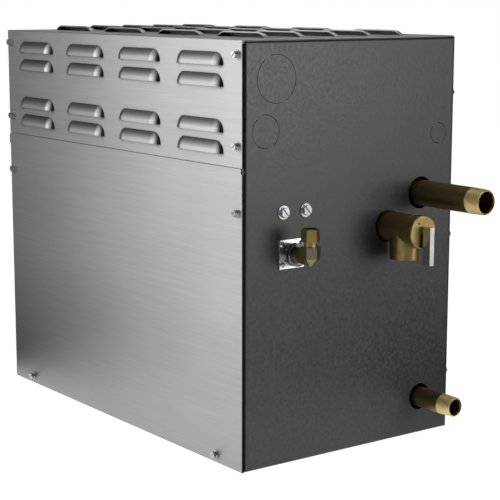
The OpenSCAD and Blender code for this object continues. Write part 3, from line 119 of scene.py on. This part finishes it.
def noise(tree, place, scale, detail=2.0, rough=0.5):
    """Noise from 0 to 1 at a place."""
    return add(tree, "ShaderNodeTexNoise", [
        ("Vector", place), ("Scale", scale), ("Detail", detail),
        ("Roughness", rough)]).outputs["Fac"]


def stretched(tree, place, scales):
    """The place, scaled along each axis."""
    return add(tree, "ShaderNodeMapping", [("Vector", place), ("Scale", scales)]).outputs["Vector"]


def new_effect(name, inputs, outputs):
    """An empty node group for a shared effect, with its ends."""
    tree = bpy.data.node_groups.new(name, "ShaderNodeTree")
    for label, kind, start in inputs:
        socket = tree.interface.new_socket(name=label, in_out="INPUT", socket_type=kind)
        if start is not None:
            socket.default_value = start
    for label, kind in outputs:
        tree.interface.new_socket(name=label, in_out="OUTPUT", socket_type=kind)
    return tree, add(tree, "NodeGroupInput"), add(tree, "NodeGroupOutput")


FLOAT = "NodeSocketFloat"
COLOUR = "NodeSocketColor"
VECTOR = "NodeSocketVector"
SKIN_OUTPUTS = [("Colour", COLOUR), ("Roughness", FLOAT), ("Normal", VECTOR)]


def finish_skin(tree, end, colour, rough, strength, distance, height):
    """Joins a skin's colour, roughness and bumped normal to its effect's outputs."""
    bump = add(tree, "ShaderNodeBump", [
        ("Strength", strength), ("Distance", distance), ("Height", height)])
    link_value(tree, end.inputs["Colour"], colour)
    link_value(tree, end.inputs["Roughness"], rough)
    link_value(tree, end.inputs["Normal"], bump.outputs["Normal"])


def make_grain_effect():
    """Fine drawn lines along one axis, with faint broad streaks, and painted shade darkening
    pressed creases.
    """
    tree, start, end = new_effect(
        "drawn grain",
        [("Place", VECTOR, None), ("Colour", COLOUR, (0.6, 0.6, 0.6, 1)), ("Depth", FLOAT, 0.1)],
        SKIN_OUTPUTS)
    place = start.outputs["Place"]
    fine = noise(tree, stretched(tree, place, (45, 1700, 1700)), 1.0, 3.0, 0.6)
    broad = noise(tree, stretched(tree, place, (12, 500, 500)), 1.0, 2.0, 0.5)
    cloud = noise(tree, place, 9.0, 2.0, 0.5)
    light = remap(tree, calc(tree, "ADD", fine, broad), 0.7, 1.3, 0.94, 1.06)
    soft = remap(tree, cloud, 0.3, 0.7, 0.97, 1.03)
    # Painted shade: ambient occlusion darkens the colour in creases and recesses.
    crease_shade = add(tree, "ShaderNodeAmbientOcclusion", [("Distance", 5 * MM)], samples=8,
                 only_local=True)
    dark = remap(tree, crease_shade.outputs["AO"], 0.6, 0.92, 0.05, 1.0)
    level = calc(tree, "MULTIPLY", calc(tree, "MULTIPLY", light, soft), dark)
    finish_skin(tree, end, scaled(tree, start.outputs["Colour"], level),
                remap(tree, fine, 0.3, 0.7, 0.39, 0.45),
                start.outputs["Depth"], 0.05 * MM, fine)
    return tree


def make_painted_shade_effect():
    """Painted shade, as a level for the sheet's colour: it falls towards the floor, on cut edges
    that face +X, and on the upper and right-hand flanks of the front's presswork as painted
    reflection of dark surroundings. The upper flank's share is the product of its normal's two
    parts, largest at 45 degrees and none on flat sheet."""
    tree, start, end = new_effect(
        "painted sheet shade", [("Place", VECTOR, None), ("Facing", VECTOR, None)], [("Level", FLOAT)])
    height = add(tree, "ShaderNodeSeparateXYZ", [("Vector", start.outputs["Place"])]).outputs["Z"]
    facing = add(tree, "ShaderNodeSeparateXYZ", [("Vector", start.outputs["Facing"])]).outputs
    # Painted shade: the sheet is darker towards the floor.
    floor_shade = remap(tree, height, 0.0, 0.17, 0.55, 1.0)
    # Painted shade on cut edges that face +X, standing in for the dark gap at the corner.
    edge_shade = remap(tree, facing["X"], 0.9, 0.97, 1.0, 0.08)
    # Painted shade and painted dark reflection on the upper and right-hand flanks of the
    # presswork; the top sheet is left out.
    upward = calc(tree, "MULTIPLY", facing["Z"], facing["Y"])
    upper = remap(tree, upward, -0.5, -0.18, 0.25, 1.0)
    side = remap(tree, facing["X"], 0.28, 0.58, 1.0, 0.05)
    top_sheet = remap(tree, height, 0.415, 0.4155, 0.0, 1.0)
    presswork_shade = calc(tree, "MAXIMUM", calc(tree, "MULTIPLY", upper, side), top_sheet)
    floor_and_edge_shade = calc(tree, "MULTIPLY", floor_shade, edge_shade)
    link_value(tree, end.inputs["Level"], calc(tree, "MULTIPLY", floor_and_edge_shade, presswork_shade))
    return tree


def make_coat_effect():
    """Baked powder paint: a low ripple, a fine grit and uneven tone."""
    tree, start, end = new_effect(
        "powder coat",
        [("Place", VECTOR, None), ("Colour", COLOUR, (0.04, 0.04, 0.04, 1))], SKIN_OUTPUTS)
    place = start.outputs["Place"]
    ripple = noise(tree, place, 280.0, 2.0, 0.5)
    grit = noise(tree, place, 1500.0, 2.0, 0.6)
    cloud = noise(tree, place, 14.0, 3.0, 0.5)
    tone = remap(tree, ripple, 0.3, 0.7, 0.68, 1.32)
    wide = remap(tree, cloud, 0.3, 0.7, 0.94, 1.06)
    grit_share = 0.25
    finish_skin(tree, end,
                scaled(tree, start.outputs["Colour"], calc(tree, "MULTIPLY", tone, wide)),
                remap(tree, ripple, 0.3, 0.7, 0.36, 0.5),
                0.55, 0.2 * MM, calc(tree, "MULTIPLY_ADD", grit, grit_share, ripple))
    return tree


def make_patina_effect():
    """Handled brass: clouds of brown, small dark specks and a cast or cut skin."""
    tree, start, end = new_effect(
        "brass patina",
        [("Place", VECTOR, None), ("Clean", COLOUR, (0.4, 0.3, 0.1, 1)),
         ("Dull", COLOUR, (0.2, 0.15, 0.05, 1)), ("Skin", FLOAT, 0.3), ("Gloss", FLOAT, 0.35),
         ("Specks", FLOAT, 0.6)],
        SKIN_OUTPUTS)
    place = start.outputs["Place"]
    cloud = noise(tree, place, 120.0, 4.0, 0.55)
    speck = noise(tree, place, 900.0, 2.0, 0.5)
    grain = noise(tree, place, 2600.0, 2.0, 0.5)
    body = mix_colour(tree, remap(tree, cloud, 0.35, 0.65, 0.0, 1.0),
                      start.outputs["Clean"], start.outputs["Dull"])
    spots = calc(tree, "MULTIPLY", remap(tree, speck, 0.66, 0.74, 0.0, 1.0),
                 start.outputs["Specks"])
    rough = calc(tree, "ADD", start.outputs["Gloss"],
                 remap(tree, cloud, 0.3, 0.7, -0.06, 0.08))
    finish_skin(tree, end, mix_colour(tree, spots, body, (0.05, 0.035, 0.02, 1)), rough,
                start.outputs["Skin"], 0.08 * MM, grain)
    return tree


def make_plate_effect():
    """Plated or mill metal and moulded plastic: faint clouds and fine grain."""
    tree, start, end = new_effect(
        "fine skin",
        [("Place", VECTOR, None), ("Colour", COLOUR, (0.7, 0.7, 0.7, 1)),
         ("Grain", FLOAT, 900.0), ("Uneven", FLOAT, 0.08), ("Gloss", FLOAT, 0.3),
         ("Depth", FLOAT, 0.2)],
        SKIN_OUTPUTS)
    place = start.outputs["Place"]
    cloud = noise(tree, place, 60.0, 4.0, 0.6)
    grain = noise(tree, place, start.outputs["Grain"], 2.0, 0.5)
    centred = calc(tree, "SUBTRACT", cloud, 0.5)
    swing = calc(tree, "MULTIPLY", start.outputs["Uneven"], 4.0)
    level = calc(tree, "MULTIPLY_ADD", centred, swing, 1.0)
    rough = calc(tree, "MULTIPLY_ADD", centred, 0.3, start.outputs["Gloss"])
    finish_skin(tree, end, scaled(tree, start.outputs["Colour"], level), rough,
                start.outputs["Depth"], 0.05 * MM, grain)
    return tree


grain_effect = make_grain_effect()
painted_shade_effect = make_painted_shade_effect()
coat_effect = make_coat_effect()
patina_effect = make_patina_effect()
plate_effect = make_plate_effect()


def new_material(name, effect, values, **constants):
    """A material whose colour, roughness and normal come from a shared effect."""
    made = bpy.data.materials.new(name)
    made.use_nodes = True
    tree = made.node_tree
    tree.nodes.clear()
    place = add(tree, "ShaderNodeTexCoord").outputs["Object"]
    skin = add(tree, "ShaderNodeGroup", node_tree=effect)
    link_value(tree, skin.inputs["Place"], place)
    for label, value in values.items():
        skin.inputs[label].default_value = value
    surface = add(tree, "ShaderNodeBsdfPrincipled", [
        ("Base Color", skin.outputs["Colour"]), ("Roughness", skin.outputs["Roughness"]),
        ("Normal", skin.outputs["Normal"])])
    for label, value in constants.items():
        surface.inputs[label.replace("_", " ")].default_value = value
    output = add(tree, "ShaderNodeOutputMaterial")
    tree.links.new(surface.outputs["BSDF"], output.inputs["Surface"])
    return made


def rgb(red, green, blue):
    """A colour socket's value."""
    return (red, green, blue, 1.0)


WHITE = rgb(1, 1, 1)


sheet_steel = new_material(
    "brushed stainless", grain_effect, {"Colour": rgb(0.66, 0.66, 0.645), "Depth": 0.12},
    Metallic=1.0, Anisotropic=0.88)
sheet_tree = sheet_steel.node_tree
sheet_surface = next(n for n in sheet_tree.nodes if n.type == "BSDF_PRINCIPLED")
sheet_run = add(sheet_tree, "ShaderNodeTangent", direction_type="RADIAL", axis="X")
link_value(sheet_tree, sheet_surface.inputs["Tangent"], sheet_run.outputs["Tangent"])
# Painted shade: the sheet's colour is scaled by the painted shade level.
sheet_place = add(sheet_tree, "ShaderNodeTexCoord").outputs
sheet_shade = add(sheet_tree, "ShaderNodeGroup", node_tree=painted_shade_effect)
link_value(sheet_tree, sheet_shade.inputs["Place"], sheet_place["Object"])
link_value(sheet_tree, sheet_shade.inputs["Facing"], sheet_place["Normal"])
sheet_colour = sheet_surface.inputs["Base Color"]
link_value(sheet_tree, sheet_colour, scaled(
    sheet_tree, sheet_colour.links[0].from_socket, sheet_shade.outputs["Level"]))

powder_coat = new_material(
    "dark powder coat", coat_effect, {"Colour": rgb(0.036, 0.036, 0.0358)})
aged_brass = new_material(
    "aged brass", patina_effect,
    {"Clean": rgb(0.33, 0.25, 0.09), "Dull": rgb(0.24, 0.175, 0.085), "Skin": 0.35, "Gloss": 0.38},
    Metallic=1.0)
cut_brass = new_material(
    "cut brass thread", patina_effect,
    {"Clean": rgb(0.72, 0.56, 0.27), "Dull": rgb(0.66, 0.5, 0.24), "Skin": 0.05, "Gloss": 0.46,
     "Specks": 0.0},
    Metallic=1.0)
forged_brass = new_material(
    "forged brass", patina_effect,
    {"Clean": rgb(0.3, 0.26, 0.17), "Dull": rgb(0.24, 0.2, 0.12), "Skin": 0.3, "Gloss": 0.34,
     "Specks": 0.3},
    Metallic=1.0)
turned_brass = new_material(
    "turned brass", patina_effect,
    {"Clean": rgb(0.46, 0.345, 0.11), "Dull": rgb(0.36, 0.265, 0.09), "Skin": 0.2, "Gloss": 0.3,
     "Specks": 0.3},
    Metallic=1.0)
bright_nickel = new_material(
    "bright nickel", plate_effect,
    {"Colour": rgb(0.76, 0.76, 0.73), "Gloss": 0.2, "Uneven": 0.04, "Depth": 0.04}, Metallic=1.0)
# A dark copy of bright nickel, standing in for the dark surroundings a chrome part mirrors:
# painted reflection.
shade_dark_nickel = new_material(
    "nickel darkened as painted reflection", plate_effect,
    {"Colour": rgb(0.16, 0.165, 0.17), "Gloss": 0.16, "Uneven": 0.04, "Depth": 0.04}, Metallic=1.0)
screw_steel = new_material(
    "bright screw steel", plate_effect,
    {"Colour": rgb(0.5, 0.51, 0.52), "Gloss": 0.2, "Uneven": 0.05, "Depth": 0.05}, Metallic=1.0)
# Near-black painted shade for the insides of bores and holes.
bore_shade_paint = new_material(
    "painted bore shade", plate_effect,
    {"Colour": rgb(0.035, 0.03, 0.02), "Gloss": 0.6}, Metallic=1.0)
zinc_plate = new_material(
    "zinc plate", plate_effect,
    {"Colour": rgb(0.84, 0.85, 0.86), "Gloss": 0.3, "Uneven": 0.06}, Metallic=1.0)
plain_steel = new_material(
    "mill steel", plate_effect,
    {"Colour": rgb(0.52, 0.52, 0.5), "Gloss": 0.4, "Grain": 500.0}, Metallic=1.0)
black_rubber = new_material(
    "black rubber", plate_effect,
    {"Colour": rgb(0.02, 0.02, 0.02), "Gloss": 0.75, "Depth": 0.4})
black_plastic = new_material(
    "black plastic", plate_effect,
    {"Colour": rgb(0.03, 0.03, 0.032), "Gloss": 0.45, "Depth": 0.5})
pale_plastic = new_material(
    "pale plastic", plate_effect, {"Colour": rgb(0.6, 0.57, 0.5), "Gloss": 0.4, "Depth": 0.3})
red_plastic = new_material(
    "red plastic", plate_effect, {"Colour": rgb(0.5, 0.03, 0.02), "Gloss": 0.25, "Depth": 0.1})
porcelain = new_material(
    "glazed porcelain", plate_effect,
    {"Colour": rgb(0.78, 0.75, 0.68), "Gloss": 0.16, "Uneven": 0.03, "Depth": 0.05})
core_steel = new_material(
    "laminated core", grain_effect, {"Colour": rgb(0.06, 0.06, 0.065), "Depth": 0.8},
    Metallic=0.6)
winding = new_material(
    "varnished winding", grain_effect, {"Colour": rgb(0.3, 0.12, 0.03), "Depth": 1.0},
    Coat_Weight=0.6)
circuit_board = new_material(
    "circuit board", plate_effect,
    {"Colour": rgb(0.02, 0.12, 0.05), "Gloss": 0.3, "Uneven": 0.12})
black_insulation = new_material(
    "black wire", plate_effect, {"Colour": rgb(0.02, 0.02, 0.02), "Gloss": 0.38})
red_insulation = new_material(
    "red wire", plate_effect, {"Colour": rgb(0.42, 0.03, 0.02), "Gloss": 0.38})

slot_materials = {
    "brushed_stainless": sheet_steel, "dark_powder_coat": powder_coat, "aged_brass": aged_brass,
    "bright_nickel": bright_nickel, "zinc_plate": zinc_plate, "plain_steel": plain_steel,
    "black_rubber": black_rubber, "black_plastic": black_plastic, "pale_plastic": pale_plastic,
    "red_plastic": red_plastic, "porcelain": porcelain, "core_steel": core_steel,
    "winding": winding, "circuit_board": circuit_board, "black_insulation": black_insulation,
    "red_insulation": red_insulation,
}
node_slots = {part["node"]: part["material_slot"] for part in frame["record"]["subparts"]}


def paint(obj, *materials):
    """Gives an object its materials, the first one on every face."""
    obj.data.materials.clear()
    for material in materials:
        obj.data.materials.append(material)


for node_name, node_object in nodes.items():
    paint(node_object, slot_materials[node_slots[node_name]])


# Finished pieces

body_of_node = {member: body for body, members in frame["record"]["behaviour"]["bodies"].items()
                for member in members}


def place_piece(mesh, node, *materials):
    """A piece that stands for a CAD node, on that node's body and in its slot's finish."""
    obj = bpy.data.objects.new(node + "_finished", mesh)
    bpy.context.scene.collection.objects.link(obj)
    paint(obj, *materials)
    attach(obj, body_of_node[node])
    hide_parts(node)
    return obj


def edge_finished(node, width, segments=2, sharp=28.0):
    """The CAD node's own form as one clean skin, with every hard edge rounded by width."""
    mesh = nodes[node].data.copy()
    if "custom_normal" in mesh.attributes:
        mesh.attributes.remove(mesh.attributes["custom_normal"])
    skin = bmesh.new()
    skin.from_mesh(mesh)
    bmesh.ops.remove_doubles(skin, verts=skin.verts, dist=1e-6)
    bmesh.ops.dissolve_limit(skin, angle_limit=math.radians(0.4), verts=skin.verts,
                             edges=skin.edges)
    bmesh.ops.recalc_face_normals(skin, faces=skin.faces)
    skin.to_mesh(mesh)
    skin.free()
    mesh.shade_smooth()
    obj = place_piece(mesh, node, slot_materials[node_slots[node]])
    rounded = obj.modifiers.new("rounded edges", "BEVEL")
    rounded.width = width
    rounded.segments = segments
    rounded.limit_method = "ANGLE"
    rounded.angle_limit = math.radians(sharp)
    rounded.harden_normals = True
    return obj


def closed_skin(name, rows):
    """A closed skin from closed rings of points, in mm. The last ring joins the first."""
    count, steps = rows.shape[:2]
    here = np.arange(count)[:, None] * steps + np.arange(steps)[None, :]
    over = np.roll(here, -1, axis=1)
    ahead = np.roll(here, -1, axis=0)
    faces = np.stack([here, over, np.roll(ahead, -1, axis=1), ahead], -1).reshape(-1, 4)
    mesh = bpy.data.meshes.new(name)
    mesh.from_pydata((rows.reshape(-1, 3) * MM).tolist(), [], faces.tolist())
    mesh.shade_smooth()
    return mesh


def threaded_pipe(node, axis, radius, bore, thread_start, tip, steps=160):
    """A drawn pipe along +X with a cut taper thread at its tip.

    The skin is swept round the axis (angle t), along a profile x, r. In the thread the crest
    falls by CREST_DROP per mm, and the groove's depth at a place is a rounded V of
    (x - thread_start) / pitch - t / turn, faded in over the first turn. The mouth has a
    45 degree bevel outside and a countersink inside."""
    pitch, depth, mouth, inner_step = 1.8, 0.75, 1.1, 0.9
    angle = np.arange(steps) / steps * TURN
    rings_per_turn = 12
    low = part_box(node)[0].x / MM
    plain = np.array([low, PIPE_STEP_X - 1.0, PIPE_STEP_X, thread_start - 0.4])
    plain_r = np.array([radius - inner_step, radius - inner_step, radius, radius])
    thread = np.linspace(thread_start, tip, int((tip - thread_start) / pitch * rings_per_turn))
    inside = np.array([tip, tip - 1.6, tip - 3.0, low + 1.0, low])
    inside_r = np.array([bore + 1.0, bore + 0.1, bore, bore, bore])
    x = np.concatenate([plain, thread, inside])
    crest = radius - np.maximum(thread - thread_start, 0) * CREST_DROP
    r = np.concatenate([plain_r, crest, inside_r])
    cut = np.concatenate([np.zeros(len(plain)), np.clip((thread - thread_start) / pitch, 0, 1),
                          np.zeros(len(inside))])
    phase = (x[:, None] - thread_start) / pitch - angle[None, :] / TURN
    vee = 1 - np.abs(2 * (phase % 1.0) - 1)
    groove = np.clip(vee * 1.3 - 0.15, 0, 1)
    wall = r[:, None] - depth * cut[:, None] * groove
    mouth_r = radius - depth - mouth * 0.35 - (tip - thread_start) * CREST_DROP
    bevel = mouth_r + (tip - x)[:, None]
    outer = (cut > 0)[:, None]
    wall = np.where(outer, np.minimum(wall, np.maximum(bevel, bore + 0.5)), wall)
    rows = np.stack([np.broadcast_to(x[:, None], wall.shape),
                     axis[0] + wall * np.cos(angle), axis[1] + wall * np.sin(angle)], -1)
    mesh = closed_skin(node, rows)
    obj = place_piece(mesh, node, aged_brass, cut_brass)
    ring = np.zeros(len(x), dtype=np.int32)
    ring[len(plain):len(plain) + len(thread)] = 1
    mesh.polygons.foreach_set("material_index", np.repeat(ring, steps))
    mesh.set_sharp_from_angle(angle=math.radians(40))
    return obj


threaded_pipe("steam_outlet_nipple", **STEAM_PIPE)
threaded_pipe("drain_nipple", **DRAIN_PIPE)

# Each finished node and its edges' rounding, in mm
edge_widths = {
    "relief_valve_body": 0.35, "relief_valve_cap": 0.3, "test_lever": 0.18,
    "inlet_elbow": 0.3, "compression_nut": 0.3, "inlet_collar": 0.25, "inlet_plate": 0.15,
    "inlet_plate_screws": 0.2, "bracket_screws": 0.2, "cover_screws": 0.15,
    "panel_screws": 0.15, "rear_screws": 0.15,
}
finished = {name: edge_finished(name, width * MM) for name, width in edge_widths.items()}
paint(finished["inlet_elbow"], forged_brass)
paint(finished["compression_nut"], turned_brass)
# Painted dark reflection: the inlet collar gets the dark copy of bright nickel.
paint(finished["inlet_collar"], shade_dark_nickel)
for screws in ("cover_screws", "panel_screws", "bracket_screws", "inlet_plate_screws"):
    paint(finished[screws], screw_steel)


def paint_inner(name, outer_material, chosen):
    """Paints the faces that chosen picks by their middles, in mm, in a near-black painted shade
    for the inside of a bore or hole.
    """
    mesh = finished[name].data
    paint(finished[name], outer_material, bore_shade_paint)
    middles = np.empty(len(mesh.polygons) * 3)
    mesh.polygons.foreach_get("center", middles)
    picked = chosen(middles.reshape(-1, 3) / MM)
    mesh.polygons.foreach_set("material_index", picked.astype(np.int32))


# Painted shade in the compression nut's mouth and on the relief body's ring inside the panel's
# hole.
nut_low, nut_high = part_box("compression_nut")
nut_middle = np.array([(nut_low.x + nut_high.x) / 2, (nut_low.y + nut_high.y) / 2]) / MM
paint_inner("compression_nut", turned_brass,
            lambda at: np.hypot(*(at[:, :2] - nut_middle).T) < NUT_BORE_R)
paint_inner("relief_valve_body", aged_brass, lambda at: at[:, 0] < RELIEF_RING_FRONT_X)


# Studio

def stage_sheet(name, points, faces, heading, material):
    """A stage sheet whose local +Y points along a heading, in degrees from +X towards +Y."""
    mesh = bpy.data.meshes.new(name)
    mesh.from_pydata(points, [], faces)
    obj = bpy.data.objects.new(name, mesh)
    obj.rotation_euler = (0, 0, math.radians(heading - 90))
    obj.data.materials.append(material)
    bpy.context.scene.collection.objects.link(obj)
    return obj


def seen_directly(tree):
    """1 for camera, glossy and transmission rays, and 0 for all other rays."""
    path = add(tree, "ShaderNodeLightPath").outputs
    first = calc(tree, "MAXIMUM", path["Is Camera Ray"], path["Is Glossy Ray"])
    return calc(tree, "MAXIMUM", first, path["Is Transmission Ray"])


def stage_material(name):
    """A new material for a stage piece, with its tree and its surface's socket."""
    made = bpy.data.materials.new(name)
    made.use_nodes = True
    tree = made.node_tree
    tree.nodes.clear()
    return made, tree, add(tree, "ShaderNodeOutputMaterial").inputs["Surface"]


def make_floor_material():
    """A pale floor that keeps the object's soft shadow."""
    made, tree, surface = stage_material("pale floor")
    matt = add(tree, "ShaderNodeBsdfDiffuse", [("Color", rgb(0.22, 0.22, 0.22))])
    glow = add(tree, "ShaderNodeEmission", [
        ("Color", WHITE), ("Strength", calc(tree, "MULTIPLY", seen_directly(tree), 0.94))])
    both = add(tree, "ShaderNodeAddShader", [(0, matt.outputs[0]), (1, glow.outputs[0])])
    link_value(tree, surface, both.outputs[0])
    return made


def make_card_material(name, tones, across, along, near_share):
    """A studio card. Its tone goes from the first to the second of tones between two places in
    local x, times a share that rises to 1 between two places in local y."""
    made, tree, surface = stage_material(name)
    place = add(tree, "ShaderNodeTexCoord").outputs["Object"]
    split = add(tree, "ShaderNodeSeparateXYZ", [("Vector", place)])
    tone = add(tree, "ShaderNodeMapRange", [
        ("Value", split.outputs["X"]), ("From Min", across[0]), ("From Max", across[1]),
        ("To Min", tones[0]), ("To Max", tones[1])],
        interpolation_type="SMOOTHSTEP").outputs["Result"]
    share = remap(tree, split.outputs["Y"], along[0], along[1], near_share, 1.0)
    glow = add(tree, "ShaderNodeEmission", [
        ("Color", WHITE), ("Strength", calc(tree, "MULTIPLY", tone, share))])
    link_value(tree, surface, glow.outputs[0])
    return made


def sweep(name, heading, near, far, side, bend, height, material):
    """A paper roll from the floor up. It leaves the middle at a heading, lies flat from near to
    far, turns up with the bend's radius and ends at the height. Side is its lowest and highest
    local x, which points to the right of the heading, and near is its start at each side."""
    lift = 1 * MM
    turn = np.linspace(0, math.pi / 2, 12)
    rest = np.concatenate([far + bend * np.sin(turn), [far + bend]])
    rise = np.concatenate([[0.0], bend * (1 - np.cos(turn)), [height]]) + lift
    run = np.concatenate([[near], np.repeat(rest[:, None], 2, 1)])
    across = np.tile(np.array(side), (len(rise), 1))
    points = np.stack([across, run, np.repeat(rise[:, None], 2, 1)], -1).reshape(-1, 3)
    faces = [(2 * i, 2 * i + 1, 2 * i + 3, 2 * i + 2) for i in range(len(rise) - 1)]
    return stage_sheet(name, points.tolist(), faces, heading, material)


def flag(name, heading, distance, side, low, high, material):
    """A hanging card that faces the middle from a heading, like a sweep without its floor."""
    left, right = side
    points = [(left, distance, low), (right, distance, low), (right, distance, high),
              (left, distance, high)]
    return stage_sheet(name, points, [(0, 1, 2, 3)], heading, material)


def softbox(name, place, target, size, watts):
    """A square lamp aimed at a point."""
    lamp = bpy.data.lights.new(name, "AREA")
    lamp.shape = "RECTANGLE"
    lamp.size, lamp.size_y = size
    lamp.energy = watts
    obj = bpy.data.objects.new(name, lamp)
    obj.location = place
    obj.rotation_euler = (Vector(target) - Vector(place)).to_track_quat("-Z", "Y").to_euler()
    bpy.context.scene.collection.objects.link(obj)
    return obj


floor_half, floor_z = 7.0, -0.2 * MM
stage_sheet("floor", [(-floor_half, -floor_half, floor_z), (floor_half, -floor_half, floor_z),
                      (floor_half, floor_half, floor_z), (-floor_half, floor_half, floor_z)],
            [(0, 1, 2, 3)], 90.0, make_floor_material())
sweep("left_roll", 211.7, (-0.25, 1.28), 1.6, (-0.9, 1.6), 0.3, 2.4,
      make_card_material("left roll", (2.1, 0.13), (-0.3, 0.05), (1.3, 1.95), 0.1))
dark_card = make_card_material("dark card", (0.05, 0.05), (0.0, 1.0), (0.0, 1.0), 1.0)
sweep("camera_roll", -36.6, (1.5, 1.5), 2.3, (-1.5, 2.2), 0.3, 2.6, dark_card)
sweep("right_roll", 45.0, (0.39, 0.33), 2.2, (-1.6, 1.1), 0.3, 2.2,
      make_card_material("right roll", (0.05, 1.05), (-0.05, 0.36), (0.5, 1.6), 0.4))
flag("low_flag", 45.0, 0.45, (-0.6, 0.2), 0.0, 0.09, dark_card)
flag("left_flag", 160.0, 1.7, (-1.0, 1.1), 0.85, 2.8, dark_card)

world = bpy.data.worlds.new("studio")
bpy.context.scene.world = world
world.use_nodes = True
world_tree = world.node_tree
background = world_tree.nodes["Background"]
background.inputs["Color"].default_value = WHITE
world_height = add(world_tree, "ShaderNodeSeparateXYZ", [
    ("Vector", add(world_tree, "ShaderNodeTexCoord").outputs["Generated"])]).outputs["Z"]
seen = seen_directly(world_tree)
seen_level = calc(world_tree, "MULTIPLY", seen,
                  remap(world_tree, world_height, 0.05, 0.35, 1.0, 0.15))
least_level = remap(world_tree, seen, 0.0, 1.0, 0.35, 0.15)
link_value(world_tree, background.inputs["Strength"],
           calc(world_tree, "MAXIMUM", seen_level, least_level))

softbox("front lamp", (-0.3, -2.2, 1.2), (0, 0, 0.2), (1.6, 1.4), 9.0)
softbox("right lamp", (1.75, 0.75, 0.5), (0.2, 0, 0.3), (0.8, 0.7), 12.0)
softbox("top lamp", (0.2, -0.2, 2.2), (0, 0, 0.2), (1.4, 1.4), 10.0)

camera_data = bpy.data.cameras.new("camera")
camera_data.lens = 105.0
camera_data.sensor_width = 36.0
camera_data.clip_start, camera_data.clip_end = 0.05, 50.0
camera = bpy.data.objects.new("camera", camera_data)
look = Vector((-0.7914, 0.5868, -0.1711)).normalized()
roll = math.radians(-0.09)
camera.rotation_mode = "QUATERNION"
camera.location = (1.3348, -0.9431, 0.4581)
camera.rotation_quaternion = Quaternion(look, roll) @ look.to_track_quat("-Z", "Y")
bpy.context.scene.collection.objects.link(camera)
bpy.context.scene.camera = camera

scene = bpy.context.scene
scene.render.resolution_x = 500
scene.render.resolution_y = 500
scene.view_settings.view_transform = "Standard"
